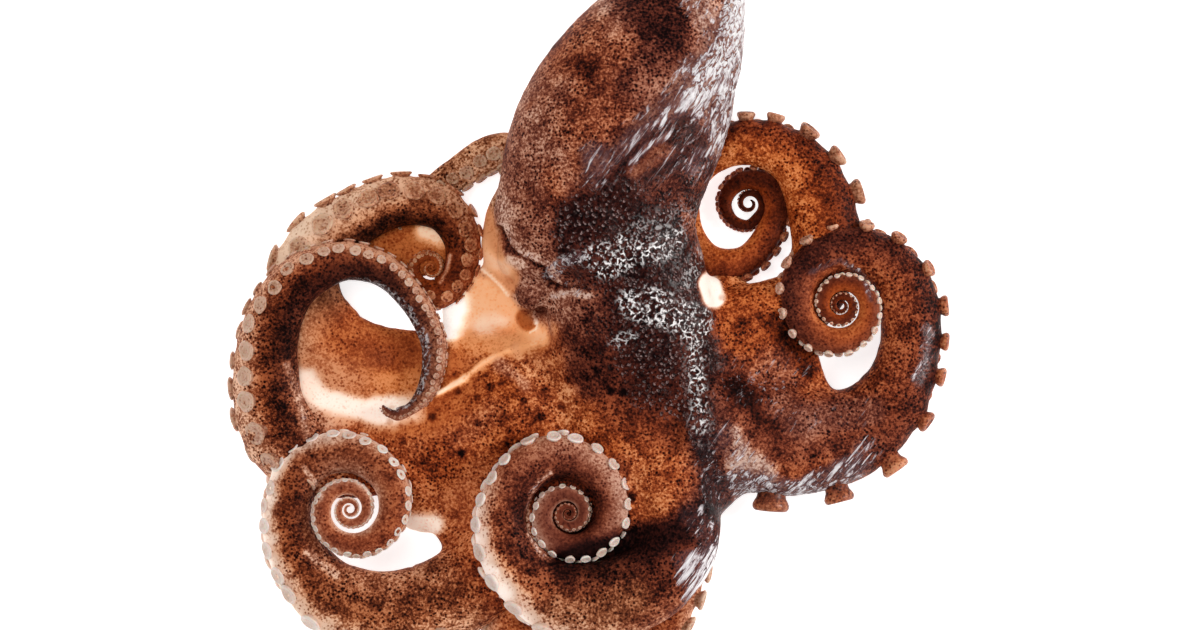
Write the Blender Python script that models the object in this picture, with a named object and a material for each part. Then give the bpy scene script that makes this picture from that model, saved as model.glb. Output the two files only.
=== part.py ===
"""Whole raw octopus lying flat on a table, arms curled, as one closed solid.

The mantle (the bag) points to +Y, the arms coil round the head in the XY plane, and the table is
the plane z = 0. The origin is the middle of the arm crown, on the table. The body, the arms, the
web between them and the larger suckers are built as overlapping closed shapes. The body, web and
roots of the arms are fused and smoothed first, then the free arms and the suckers are fused on.
The skin is thinned out, and cut flat where the soft flesh lies on the table.
"""

import math

import bmesh
import bpy
import numpy as np

MM = 0.001

# Driving dimensions, in millimetres.
MANTLE_LENGTH = 148.0  # collar to tip
MANTLE_HALF_WIDTH = 42.0
MANTLE_HALF_HEIGHT = 25.0
SINK = 1.2  # how far round undersides are pressed flat by their own weight
VOXEL = 1.9  # size of the fused skin's cells
BODY_VOXEL = 2.2  # the same for the body
BODY_SMOOTHING = 14  # rounds of smoothing that ease the body, the web and the arm roots together
ROOT_OVERLAP = 10.0  # length of free arm that the body's arm roots already hold
KEEP_SHARE = 0.088  # share of the fused skin's triangles that is kept
SUCKER_SIDES = 10
SUCKER_LEAN = math.radians(28)  # of each row, from the middle of the sucker side
SMALLEST_SUCKER = 2.9  # radius; smaller suckers are left to the finish
TUBE_SIDES = 20
BODY_SIDES = 36

# Each arm is a run of stations from the crown outwards, then a coil.
# lead: (x, y, lift of the underside above the table, half-width, half-height).
# coil: centre, start angle in degrees, turns (positive is anticlockwise from above), start
# radius, shrink (how much smaller each turn is than the one outside it), fill (how much of the
# room between the turns the arm takes up), height of its middle at the tip, and the share of
# the coil over which that height is reached.
# roll: angle of the sucker side above the horizontal, at the crown and at the tip, in degrees.
# first: where suckers start, and free: where the arm is clear of the web, both in mm along it.
# cups: the suckers' radius beside the arm's half-width at the first one and at the arm's tip, the
# distance between suckers of one row in radii, and how far they stand out in radii.
ARMS = {
    "right_rear": dict(
        lead=[
            (34, 18, 5, 14.0, 10.5),
            (58, 30, 2, 15.4, 10.0),
            (80.5, 38.5, 0, 14.0, 9.0),
            (90, 55.5, 0, 14.0, 8.4),
            (89.4, 74, 0, 13.8, 8.4),
            (83, 91, 0, 12.2, 8.2),
            (71.5, 100.6, 0, 10.2, 7.8),
            (57, 103.2, 0, 9.0, 7.2),
            (43.2, 97.4, 0, 8.0, 6.8),
            (33.8, 84.4, 0, 7.2, 6.2),
            (34.2, 67.2, 0, 7.2, 5.8),
            (44.6, 55.6, 0, 6.4, 5.6),
            (60, 57.0, 0, 5.8, 5.3),
            (70.8, 73.6, 0, 5.2, 4.8),
            (67.8, 85.8, 0, 4.6, 4.4),
            (59.6, 88.4, 0, 3.9, 3.9),
            (53.0, 85.2, 0, 3.4, 3.4),
            (50.2, 78.8, 0.4, 2.8, 3.0),
            (53.0, 72.4, 0.8, 2.4, 2.6),
            (59.2, 70.2, 1.2, 2.1, 2.3),
        ],
        coil=dict(centre=(59.8, 78.8), start=-52, turns=1.35, radius=6.4, shrink=0.34,
                  fill=0.62, height=4.5, rise=0.6),
        roll=(-32, -4), first=70, free=66, cups=(0.36, 0.46, 2.45, 0.95),
    ),
    "right": dict(
        lead=[
            (34, -6, 7, 20.0, 13.0),
            (57, -13.4, 4, 22.6, 12.5),
            (80, -16.6, 2, 21.6, 12.0),
            (102.4, -12.6, 0, 18.4, 11.0),
            (118.4, 2.6, 0, 14.4, 10.5),
            (124, 20.0, 0, 12.2, 10.0),
        ],
        coil=dict(centre=(96.4, 37.8), start=-6, turns=3.4, radius=28.0, shrink=0.405,
                  fill=0.86, height=17.5, rise=0.22),
        roll=(-32, 10), first=38, free=84, cups=(0.30, 0.39, 2.95, 0.95),
    ),
    "front_right": dict(
        lead=[
            (22, -26, 8, 15.0, 11.0),
            (32.5, -44, 9, 15.2, 11.0),
            (31, -60.5, 10, 15.4, 11.0),
            (18, -74, 11, 16.0, 10.6),
            (0, -80, 12, 15.8, 10.2),
            (-17.3, -78.4, 12.2, 14.8, 10.0),
            (-29.9, -69.9, 12.4, 13.2, 9.8),
            (-37.9, -58.6, 12.8, 11.4, 9.4),
            (-39.6, -45.2, 13.2, 10.0, 9.0),
            (-33.2, -31.3, 13.8, 9.2, 8.6),
        ],
        coil=dict(centre=(-12.6, -45.2), start=110, turns=-3.15, radius=23.6, shrink=0.36,
                  fill=0.84, height=22.0, rise=0.9),
        roll=(-10, 14), first=84, free=44, cups=(0.3, 0.44, 2.3, 0.6),
    ),
    "front_left": dict(
        lead=[
            (-4, -28, 5, 15.0, 10.5),
            (-24, -48, 2, 16.5, 10.5),
            (-44, -68, 0, 17.5, 10.5),
            (-64, -80.8, 0, 17.5, 10.8),
            (-86, -85.2, 0, 16.4, 10.8),
            (-106.2, -79.6, 0, 15.0, 10.3),
            (-119.4, -66, 0.2, 12.4, 10.1),
            (-125.4, -51.4, 0.6, 10.3, 9.9),
            (-124, -38, 1.4, 9.6, 9.5),
        ],
        coil=dict(centre=(-100, -43.6), start=145, turns=-3.2, radius=25.6, shrink=0.40,
                  fill=0.78, height=18.0, rise=0.15),
        roll=(-6, 12), first=84, free=84, cups=(0.31, 0.36, 2.1, 0.42),
    ),
    "left": dict(
        lead=[
            (-30, -8, 4, 13.0, 9.0),
            (-66, -20, 0, 14.0, 7.6),
            (-100, -26, 0, 14.0, 7.4),
            (-120.5, -22, 0, 15.4, 8.4),
            (-131.8, -6, 0, 14.6, 9.0),
            (-134.2, 12, 2, 13.0, 9.0),
            (-131.6, 29.5, 5, 11.6, 8.8),
            (-123.4, 45, 8, 10.2, 8.4),
            (-111.5, 53, 9, 8.8, 7.6),
            (-100, 55.6, 9, 7.8, 6.8),
            (-86, 51.5, 9, 6.6, 6.0),
            (-74.8, 40, 9, 5.6, 5.2),
            (-67.4, 26, 10, 5.2, 4.8),
            (-66.4, 15, 10.8, 4.7, 4.4),
            (-69.2, 4.4, 10.8, 3.9, 3.8),
            (-74.6, -3.0, 10.6, 2.9, 2.9),
        ],
        coil=dict(centre=(-82.6, 0.4), start=-72, turns=-0.22, radius=6.6, shrink=0.30,
                  fill=0.55, height=12.4, rise=1.0),
        roll=(-4, 40), first=88, free=92, cups=(0.33, 0.28, 2.25, 0.42),
    ),
    "left_rear": dict(
        lead=[
            (-10, 14, 5, 12.0, 8.6),
            (-40, 15, 1, 13.0, 7.4),
            (-72, 13, 0, 15.0, 6.2),
            (-99, 17, 0, 16.4, 6.2),
            (-115, 31, 0, 15.8, 7.0),
            (-118.6, 47.4, 0, 14.2, 7.6),
            (-112.6, 61.8, 0, 12.4, 7.8),
            (-98.2, 72.8, 0, 11.0, 7.8),
            (-80, 79.8, 0, 10.2, 7.4),
            (-63.4, 76.6, 0, 9.0, 6.8),
            (-55.4, 64.6, 0, 7.6, 6.2),
            (-56.6, 51.4, 0, 6.4, 5.6),
        ],
        coil=dict(centre=(-68, 52.8), start=-62, turns=-1.8, radius=10.6, shrink=0.28,
                  fill=0.62, height=6.0, rise=0.5),
        roll=(10, 46), first=128, free=96, cups=(0.42, 0.38, 2.05, 0.42),
    ),
    "rear": dict(
        lead=[
            (-8, 24, 3, 9.6, 8.0),
            (-28, 39, 0, 9.8, 6.6),
            (-38, 56, 0, 9.0, 6.2),
            (-38.6, 72, 0, 8.0, 5.8),
            (-33, 86, 0, 7.2, 5.4),
            (-33.4, 98.6, 0, 7.2, 5.2),
            (-43.6, 99.2, 0, 7.2, 5.0),
            (-56, 91.6, 0, 6.8, 4.8),
            (-69, 83, 0, 5.0, 4.0),
            (-80, 72.5, 0, 3.0, 3.0),
        ],
        coil=dict(centre=(-84, 66.5), start=20, turns=-0.25, radius=3.4, shrink=0.3,
                  fill=0.9, height=2.0, rise=1.0),
        roll=(40, 50), first=80, free=50, cups=(0.42, 0.4, 2.2, 0.5),
    ),
    "front": dict(
        lead=[
            (20, -20, 5, 12.0, 9.0),
            (31, -46, 0, 12.0, 7.6),
            (31, -72, 0, 10.8, 7.0),
            (22, -92, 0, 9.6, 6.8),
            (4, -104, 0, 8.8, 6.4),
            (-18, -102, 0, 8.0, 6.0),
        ],
        coil=dict(centre=(-18, -83), start=214, turns=-2.4, radius=22.0, shrink=0.40,
                  fill=0.9, height=5.0, rise=0.5),
        roll=(-26, 5), first=40, free=34, cups=(0.4, 0.36, 2.3, 0.6),
    ),
}

# Web between neighbouring arms: the two arms, how far along each it reaches, how far its free
# edge hangs back towards the crown (share of that reach), and its half-thickness at the crown
# and at the free edge.
WEBS = (
    ("right_rear", "right", 58, 76, 0.12, 10.0, 6.5),
    ("right", "front_right", 54, 53, 0.14, 9.0, 5.0),
    ("front_right", "front_left", 56, 90, 0.06, 8.0, 6.0),
    ("front_left", "left", 74, 84, 0.18, 7.0, 4.0),
    ("left", "left_rear", 126, 112, 0.04, 6.0, 2.6),
    ("left_rear", "rear", 62, 40, 0.20, 5.0, 1.8),
)

# Mantle sections from the collar to the tip: share of its length, sideways shift in half-widths,
# half-width and half-height as shares of the largest.
MANTLE_SECTIONS = (
    (-0.062, 0.05, 0.10, 0.16),
    (-0.052, 0.04, 0.32, 0.42),
    (-0.030, 0.02, 0.56, 0.64),
    (0.000, 0.00, 0.74, 0.80),
    (0.035, 0.01, 0.83, 0.89),
    (0.09, 0.01, 0.90, 0.94),
    (0.20, -0.01, 0.94, 0.97),
    (0.33, -0.06, 0.98, 1.00),
    (0.46, -0.04, 0.97, 0.99),
    (0.60, 0.01, 0.87, 0.92),
    (0.72, 0.07, 0.73, 0.80),
    (0.83, 0.11, 0.56, 0.65),
    (0.91, 0.12, 0.40, 0.48),
    (0.965, 0.12, 0.24, 0.31),
    (1.00, 0.12, 0.06, 0.08),
)
MANTLE_COLLAR = (-12.0, 50.0)
MANTLE_HEADING = math.radians(68.8)  # of the collar-to-tip axis, from +X

# Head and crown, from inside the mantle's collar to the root of the front arms: x, y, height of
# the middle, half-width and half-height, in millimetres.
TRUNK_SECTIONS = (
    (5.0, 78.0, 22.0, 22.0, 16.0),
    (6.5, 69.0, 22.0, 30.0, 21.0),
    (9.0, 55.0, 21.0, 32.0, 21.5),
    (11.5, 40.0, 18.5, 33.0, 22.5),
    (14.5, 24.0, 15.0, 34.5, 22.0),
    (16.5, 6.0, 10.0, 38.0, 20.0),
    (18.0, -14.0, 8.0, 38.0, 19.0),
    (20.0, -32.0, 8.0, 32.0, 18.0),
    (24.0, -46.0, 8.0, 22.0, 17.5),
    (26.0, -58.0, 8.0, 14.0, 13.0),
    (26.5, -66.0, 8.0, 6.0, 5.0),
)

# Round masses: centre (x, y, z) and half-axes, in millimetres.
LUMPS = {
    "crown_left": ((-22, -2, 4), (46, 32, 16)),
    "left_sheet": ((-56, -17, 2), (48, 27, 15)),
    "eye_left": ((-27, 44.5, 22), (7.4, 8.4, 7.4)),
    "eye_right": ((36, 38, 24), (9.0, 9.0, 8.0)),
    "siphon": ((44.8, 44, 14), (4.7, 6.2, 5.2)),
    "siphon_fold": ((-29.5, 32.5, 9), (4.8, 5.4, 7.5)),
    "rear_membrane": ((-43, 34, 2.6), (22, 20, 4.2)),
    "coil_skin": ((-77, 61, 2.2), (20, 13, 3.8)),
    "rear_web": ((50, 43.5, 4), (10.5, 8.5, 7)),
    "front_sheet": ((-70, -47.5, 2.2), (12, 6.5, 3.6)),
}


def catmull_rom(stations, steps):
    """A smooth run of points through the stations, whatever number of values each holds."""
    points = [2 * stations[0] - stations[1], *stations, 2 * stations[-1] - stations[-2]]
    run = []
    for before, here, there, after in zip(points, points[1:], points[2:], points[3:]):
        for step in range(steps):
            t = step / steps
            run.append(
                0.5 * (2 * here + (there - before) * t
                       + (2 * before - 5 * here + 4 * there - after) * t * t
                       + (3 * here - before - 3 * there + after) * t ** 3)
            )
    run.append(stations[-1])
    return np.array(run)


def coil_stations(coil, joins):
    """The coil's stations in the form of the lead's, following on from its last one."""
    _, _, lift, half_width, half_height = joins
    count = max(4, round(abs(coil["turns"]) * 12))
    room = (1 - coil["shrink"]) / (1 + coil["shrink"])  # half-width that fills, per radius
    started = half_width / (room * coil["fill"] * coil["radius"])
    stations = []
    for step in range(count + 1):
        t = step / count
        angle = math.radians(coil["start"]) + 2 * math.pi * coil["turns"] * t
        radius = coil["radius"] * coil["shrink"] ** (abs(coil["turns"]) * t)
        eased = 1 + (started - 1) * max(0.0, 1 - 5 * t)
        width = room * coil["fill"] * radius * eased
        height = width * (half_height / half_width + (1.1 - half_height / half_width) * t)
        risen = min(1.0, t / coil["rise"])
        middle = lift + half_height
        middle += (coil["height"] + SINK - middle) * risen * risen * (3 - 2 * risen)
        x = coil["centre"][0] + radius * math.cos(angle)
        y = coil["centre"][1] + radius * math.sin(angle)
        stations.append((x, y, middle - height, width, height))
    return stations


def arm_run(arm, spacing):
    """Points along an arm, in millimetres: x, y, z, half-width, half-height and distance."""
    stations = [np.array(s, float) for s in arm["lead"]]
    stations += [np.array(s, float) for s in coil_stations(arm["coil"], arm["lead"][-1])]
    run = catmull_rom(stations, 12)
    run[:, 2] += run[:, 4] - SINK  # from the underside's lift to the middle's height
    steps = np.linalg.norm(np.diff(run[:, :3], axis=0), axis=1)
    distance = np.concatenate([[0], np.cumsum(steps)])
    marks = [0.0]
    while marks[-1] < distance[-1]:
        width = np.interp(marks[-1], distance, run[:, 3])
        marks.append(marks[-1] + max(0.8, spacing * width))
    marks[-1] = distance[-1]
    columns = [np.interp(marks, distance, run[:, column]) for column in range(5)]
    return np.column_stack([*columns, marks])


def arm_axes(run, arm):
    """At each point: sideways, upwards, the sucker side's direction and the one across it."""
    ahead = np.gradient(run[:, :3], axis=0)
    ahead /= np.linalg.norm(ahead, axis=1)[:, None]
    outwards = -1.0 if arm["coil"]["turns"] > 0 else 1.0
    side = np.column_stack([-ahead[:, 1], ahead[:, 0], np.zeros(len(run))]) * outwards
    side /= np.linalg.norm(side, axis=1)[:, None]
    up = np.cross(ahead, side) * (1 if outwards > 0 else -1)
    up *= np.sign(up[:, 2])[:, None]
    share = run[:, 5] / run[-1, 5]
    roll = np.radians(arm["roll"][0] + (arm["roll"][1] - arm["roll"][0]) * share)[:, None]
    oral = np.cos(roll) * side + np.sin(roll) * up
    across = -np.sin(roll) * side + np.cos(roll) * up
    return side, up, oral, across


def arm_tube(name, start, stop):
    """An arm between two distances: a rounded tube, a little squared at its flanks."""
    arm = ARMS[name]
    run = arm_run(arm, 0.42)
    side, up, _, _ = arm_axes(run, arm)
    kept = [index for index in range(len(run)) if start <= run[index, 5] <= stop]
    points = []
    for index in kept:
        for step in range(TUBE_SIDES):
            angle = 2 * math.pi * step / TUBE_SIDES
            across = math.copysign(abs(math.cos(angle)) ** 0.9, math.cos(angle))
            over = math.copysign(abs(math.sin(angle)) ** 0.9, math.sin(angle))
            points.append(run[index, :3] + run[index, 3] * across * side[index]
                          + run[index, 4] * over * up[index])
    return points, ring_faces(len(kept), TUBE_SIDES)


def ring_faces(rings, sides):
    """Quads between successive rings, and a face over each end."""
    faces = []
    for ring in range(rings - 1):
        for step in range(sides):
            following = (step + 1) % sides
            a, b = ring * sides + step, ring * sides + following
            faces.append((a, b, b + sides, a + sides))
    faces.append(tuple(reversed(range(sides))))
    faces.append(tuple(range((rings - 1) * sides, rings * sides)))
    return faces


def arm_suckers(name):
    """The larger suckers of an arm: flared discs in two staggered rows on its outer side."""
    arm = ARMS[name]
    run = arm_run(arm, 0.2)
    side, up, oral, across = arm_axes(run, arm)
    near_size, far_size, spacing, tall = arm["cups"]
    shapes, mark, row = [], float(arm["first"]), 1
    while mark < run[-1, 5]:
        values = [np.interp(mark, run[:, 5], run[:, column]) for column in range(5)]
        width, height = values[3], values[4]
        share = (mark - arm["first"]) / (run[-1, 5] - arm["first"])
        radius = width * (near_size + (far_size - near_size) * share)
        if radius < SMALLEST_SUCKER:
            break
        index = int(np.searchsorted(run[:, 5], mark))
        lean = SUCKER_LEAN * row
        out = math.cos(lean) * oral[index] + math.sin(lean) * across[index]
        reach = 1 / math.hypot(out @ side[index] / width, out @ up[index] / height)
        shapes.append(flared_disc(np.array(values[:3]) + out * reach, out, radius, tall))
        mark += 0.5 * spacing * radius
        row = -row
    return shapes


def flared_disc(seat, out, radius, tall):
    """One sucker: a short stalk that widens to a rim, standing out by so many radii."""
    helper = np.array((0.0, 0.0, 1.0)) if abs(out[2]) < 0.9 else np.array((1.0, 0.0, 0.0))
    first = np.cross(helper, out)
    first /= np.linalg.norm(first)
    second = np.cross(out, first)
    profile = ((-0.5, 0.76), (0.2 * tall, 0.78), (0.55 * tall, 1.0), (tall, 0.92))
    points = []
    for depth, size in profile:
        for step in range(SUCKER_SIDES):
            angle = 2 * math.pi * step / SUCKER_SIDES
            points.append(seat + radius * (depth * out + size * math.cos(angle) * first
                                           + size * math.sin(angle) * second))
    return points, ring_faces(len(profile), SUCKER_SIDES)


def web_sheet(first_name, second_name, first_reach, second_reach, sag, thick, thin):
    """The skin between two neighbouring arms, as a closed sheet that thins to its free edge."""
    along, wide = 14, 10
    runs = [arm_run(ARMS[name], 0.3) for name in (first_name, second_name)]
    top, bottom = [], []
    for i in range(along + 1):
        half_thickness = thick + (thin - thick) * i / along
        for j in range(wide + 1):
            v = j / wide
            drawn = 1 - sag * 4 * v * (1 - v)
            ends = [
                np.array([np.interp(reach * drawn * i / along, run[:, 5], run[:, column])
                          for column in range(3)])
                for run, reach in zip(runs, (first_reach, second_reach))
            ]
            middle = ends[0] * (1 - v) + ends[1] * v
            middle[2] *= 1 - 0.3 * 4 * v * (1 - v) * i / along  # the sheet sags to the table
            middle[2] = max(middle[2], half_thickness - SINK)
            top.append(middle + (0, 0, half_thickness))
            bottom.append(middle - (0, 0, half_thickness))
    row, total = wide + 1, (along + 1) * (wide + 1)
    faces = []
    for i in range(along):
        for j in range(wide):
            a = i * row + j
            faces.append((a, a + 1, a + row + 1, a + row))
            faces.append((total + a, total + a + row, total + a + row + 1, total + a + 1))
    rim = [j for j in range(wide)]
    rim += [i * row + wide for i in range(along)]
    rim += [along * row + j for j in range(wide, 0, -1)]
    rim += [i * row for i in range(along, 0, -1)]
    for a, b in zip(rim, rim[1:] + rim[:1]):
        faces.append((b, a, total + a, total + b))
    return top + bottom, faces


def mantle():
    """The bag: oval sections along its axis, lying on the table."""
    heading = np.array((math.cos(MANTLE_HEADING), math.sin(MANTLE_HEADING)))
    right = np.array((heading[1], -heading[0]))
    sections = []
    for share, shift, wide, high in MANTLE_SECTIONS:
        x, y = (np.array(MANTLE_COLLAR) + heading * MANTLE_LENGTH * share
                + right * MANTLE_HALF_WIDTH * shift)
        half_height = MANTLE_HALF_HEIGHT * high
        sections.append((x, y, half_height - SINK, MANTLE_HALF_WIDTH * wide, half_height))
    return oval_body(sections)


def oval_body(sections):
    """A closed body through oval sections: x, y, middle height, half-width, half-height."""
    run = catmull_rom([np.array(section, float) for section in sections], 3)
    ahead = np.gradient(run[:, :2], axis=0)
    ahead /= np.linalg.norm(ahead, axis=1)[:, None]
    points = []
    for (x, y, z, wide, high), (forward_x, forward_y) in zip(run, ahead):
        for step in range(BODY_SIDES):
            angle = 2 * math.pi * step / BODY_SIDES
            across = wide * math.cos(angle)
            points.append(np.array((x + forward_y * across, y - forward_x * across,
                                    z + high * math.sin(angle))))
    return points, ring_faces(len(run), BODY_SIDES)


def lump(centre, half_axes):
    """An ellipsoid as rings of points about the vertical."""
    rings, sides = 14, 28
    points = []
    for ring in range(rings + 1):
        tilt = math.pi * (0.02 + 0.96 * ring / rings) - math.pi / 2
        for step in range(sides):
            angle = 2 * math.pi * step / sides
            direction = np.array((math.cos(tilt) * math.cos(angle),
                                  math.cos(tilt) * math.sin(angle), math.sin(tilt)))
            points.append(np.array(centre, float) + direction * np.array(half_axes, float))
    return points, ring_faces(rings + 1, sides)


def add_shape(mesh, shape):
    """Adds points in millimetres and their faces to a bmesh, with the faces turned outwards."""
    points, faces = shape
    corners = [mesh.verts.new([float(value) * MM for value in point]) for point in points]
    made = [mesh.faces.new([corners[index] for index in face]) for face in faces]
    bmesh.ops.recalc_face_normals(mesh, faces=made)


def skin_material():
    """Wet brown skin."""
    material = bpy.data.materials.new("skin")
    material.use_nodes = True
    shader = material.node_tree.nodes["Principled BSDF"]
    shader.inputs["Base Color"].default_value = (0.24, 0.09, 0.045, 1)
    shader.inputs["Roughness"].default_value = 0.32
    shader.inputs["Metallic"].default_value = 0.0
    return material


def table_cutter():
    """The table's volume, which presses the underside flat."""
    mesh = bmesh.new()
    bmesh.ops.create_cube(mesh, size=1.0)
    data = bpy.data.meshes.new("table_cutter")
    mesh.to_mesh(data)
    mesh.free()
    cutter = bpy.data.objects.new("table_cutter", data)
    cutter.scale = (0.6, 0.6, 0.04)
    cutter.location = (0, 0, -0.02)
    cutter.hide_render = True
    cutter.display_type = "WIRE"
    bpy.context.scene.collection.objects.link(cutter)
    return cutter


def new_object(name, shapes, base=None):
    """An object that holds every shape, overlapping, and the base mesh if there is one."""
    mesh = bmesh.new()
    if base:
        mesh.from_mesh(base)
    for shape in shapes:
        add_shape(mesh, shape)
    data = bpy.data.meshes.new(name)
    mesh.to_mesh(data)
    mesh.free()
    made = bpy.data.objects.new(name, data)
    bpy.context.scene.collection.objects.link(made)
    return made


def fuse(made, voxel, rounds):
    """Modifiers that make one skin of overlapping shapes and ease its creases."""
    skin = made.modifiers.new("fuse", "REMESH")
    skin.mode = "VOXEL"
    skin.voxel_size = voxel * MM
    ease = made.modifiers.new("ease", "SMOOTH")
    ease.factor = 0.45
    ease.iterations = rounds


def body_mesh():
    """Mantle, head, crown, web and arm roots, eased together."""
    shapes = [mantle(), oval_body(TRUNK_SECTIONS)]
    shapes += [lump(centre, half_axes) for centre, half_axes in LUMPS.values()]
    shapes += [arm_tube(name, 0, arm["free"] + ROOT_OVERLAP) for name, arm in ARMS.items()]
    shapes += [web_sheet(*web) for web in WEBS]
    rough = new_object("body", shapes)
    fuse(rough, BODY_VOXEL, BODY_SMOOTHING)
    graph = bpy.context.evaluated_depsgraph_get()
    eased = bpy.data.meshes.new_from_object(rough.evaluated_get(graph))
    bpy.data.objects.remove(rough)
    return eased


def octopus():
    """The body with the free arms and suckers fused on, thinned out and cut flat underneath."""
    shapes = [arm_tube(name, arm["free"], math.inf) for name, arm in ARMS.items()]
    for name in ARMS:
        shapes += arm_suckers(name)
    whole = new_object("octopus", shapes, body_mesh())
    whole.data.materials.append(skin_material())
    fuse(whole, VOXEL, 2)
    thin = whole.modifiers.new("thin", "DECIMATE")
    thin.ratio = KEEP_SHARE
    press = whole.modifiers.new("press", "BOOLEAN")
    press.operation = "DIFFERENCE"
    press.object = table_cutter()


def main():
    for old in list(bpy.data.objects):
        bpy.data.objects.remove(old)
    octopus()


main()
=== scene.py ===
"""Looks of the whole raw octopus: wet mottled skin, curled arms with hollow suckers, thin lit web.

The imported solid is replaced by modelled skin, arms and suckers in the same place. Lengths are in
millimetres until a mesh is made. +X is the octopus's right, +Y the tip of its mantle, +Z up.
"""

import math

import bmesh
import bpy
import numpy as np
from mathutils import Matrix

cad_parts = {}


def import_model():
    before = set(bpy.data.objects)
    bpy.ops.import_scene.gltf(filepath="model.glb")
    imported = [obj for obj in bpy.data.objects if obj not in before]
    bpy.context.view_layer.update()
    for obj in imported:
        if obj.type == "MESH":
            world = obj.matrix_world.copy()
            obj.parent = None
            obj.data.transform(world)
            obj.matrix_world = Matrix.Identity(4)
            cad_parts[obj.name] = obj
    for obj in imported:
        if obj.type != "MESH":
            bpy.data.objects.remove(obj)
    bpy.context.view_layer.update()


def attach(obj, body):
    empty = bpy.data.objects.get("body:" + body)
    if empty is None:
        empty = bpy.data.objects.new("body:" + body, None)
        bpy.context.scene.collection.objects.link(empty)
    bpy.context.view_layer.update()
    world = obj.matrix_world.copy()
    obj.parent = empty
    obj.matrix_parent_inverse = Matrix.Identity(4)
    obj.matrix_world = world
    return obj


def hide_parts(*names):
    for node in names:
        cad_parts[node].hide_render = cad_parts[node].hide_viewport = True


MM = 0.001

# ---- sizes, as in the solid

MANTLE_LENGTH = 148.0
MANTLE_HALF_WIDTH = 42.0
MANTLE_HALF_HEIGHT = 25.0
SINK = 1.2  # how far flesh is modelled below the table, before it is pressed flat
SUCKER_LEAN = math.radians(28)
SKIN_VOXEL = 1.12
SKIN_SMOOTHING = 40
ROOT_SIDES = 24
TUBE_SIDES = 36
BODY_SIDES = 72
LUMP_RINGS, LUMP_SIDES = 28, 56
WEB_STEPS_ALONG, WEB_STEPS_ACROSS = 26, 18
LOWEST = 0.02  # height of flesh pressed flat on the table
SMALLEST_SUCKER = 0.25

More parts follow.
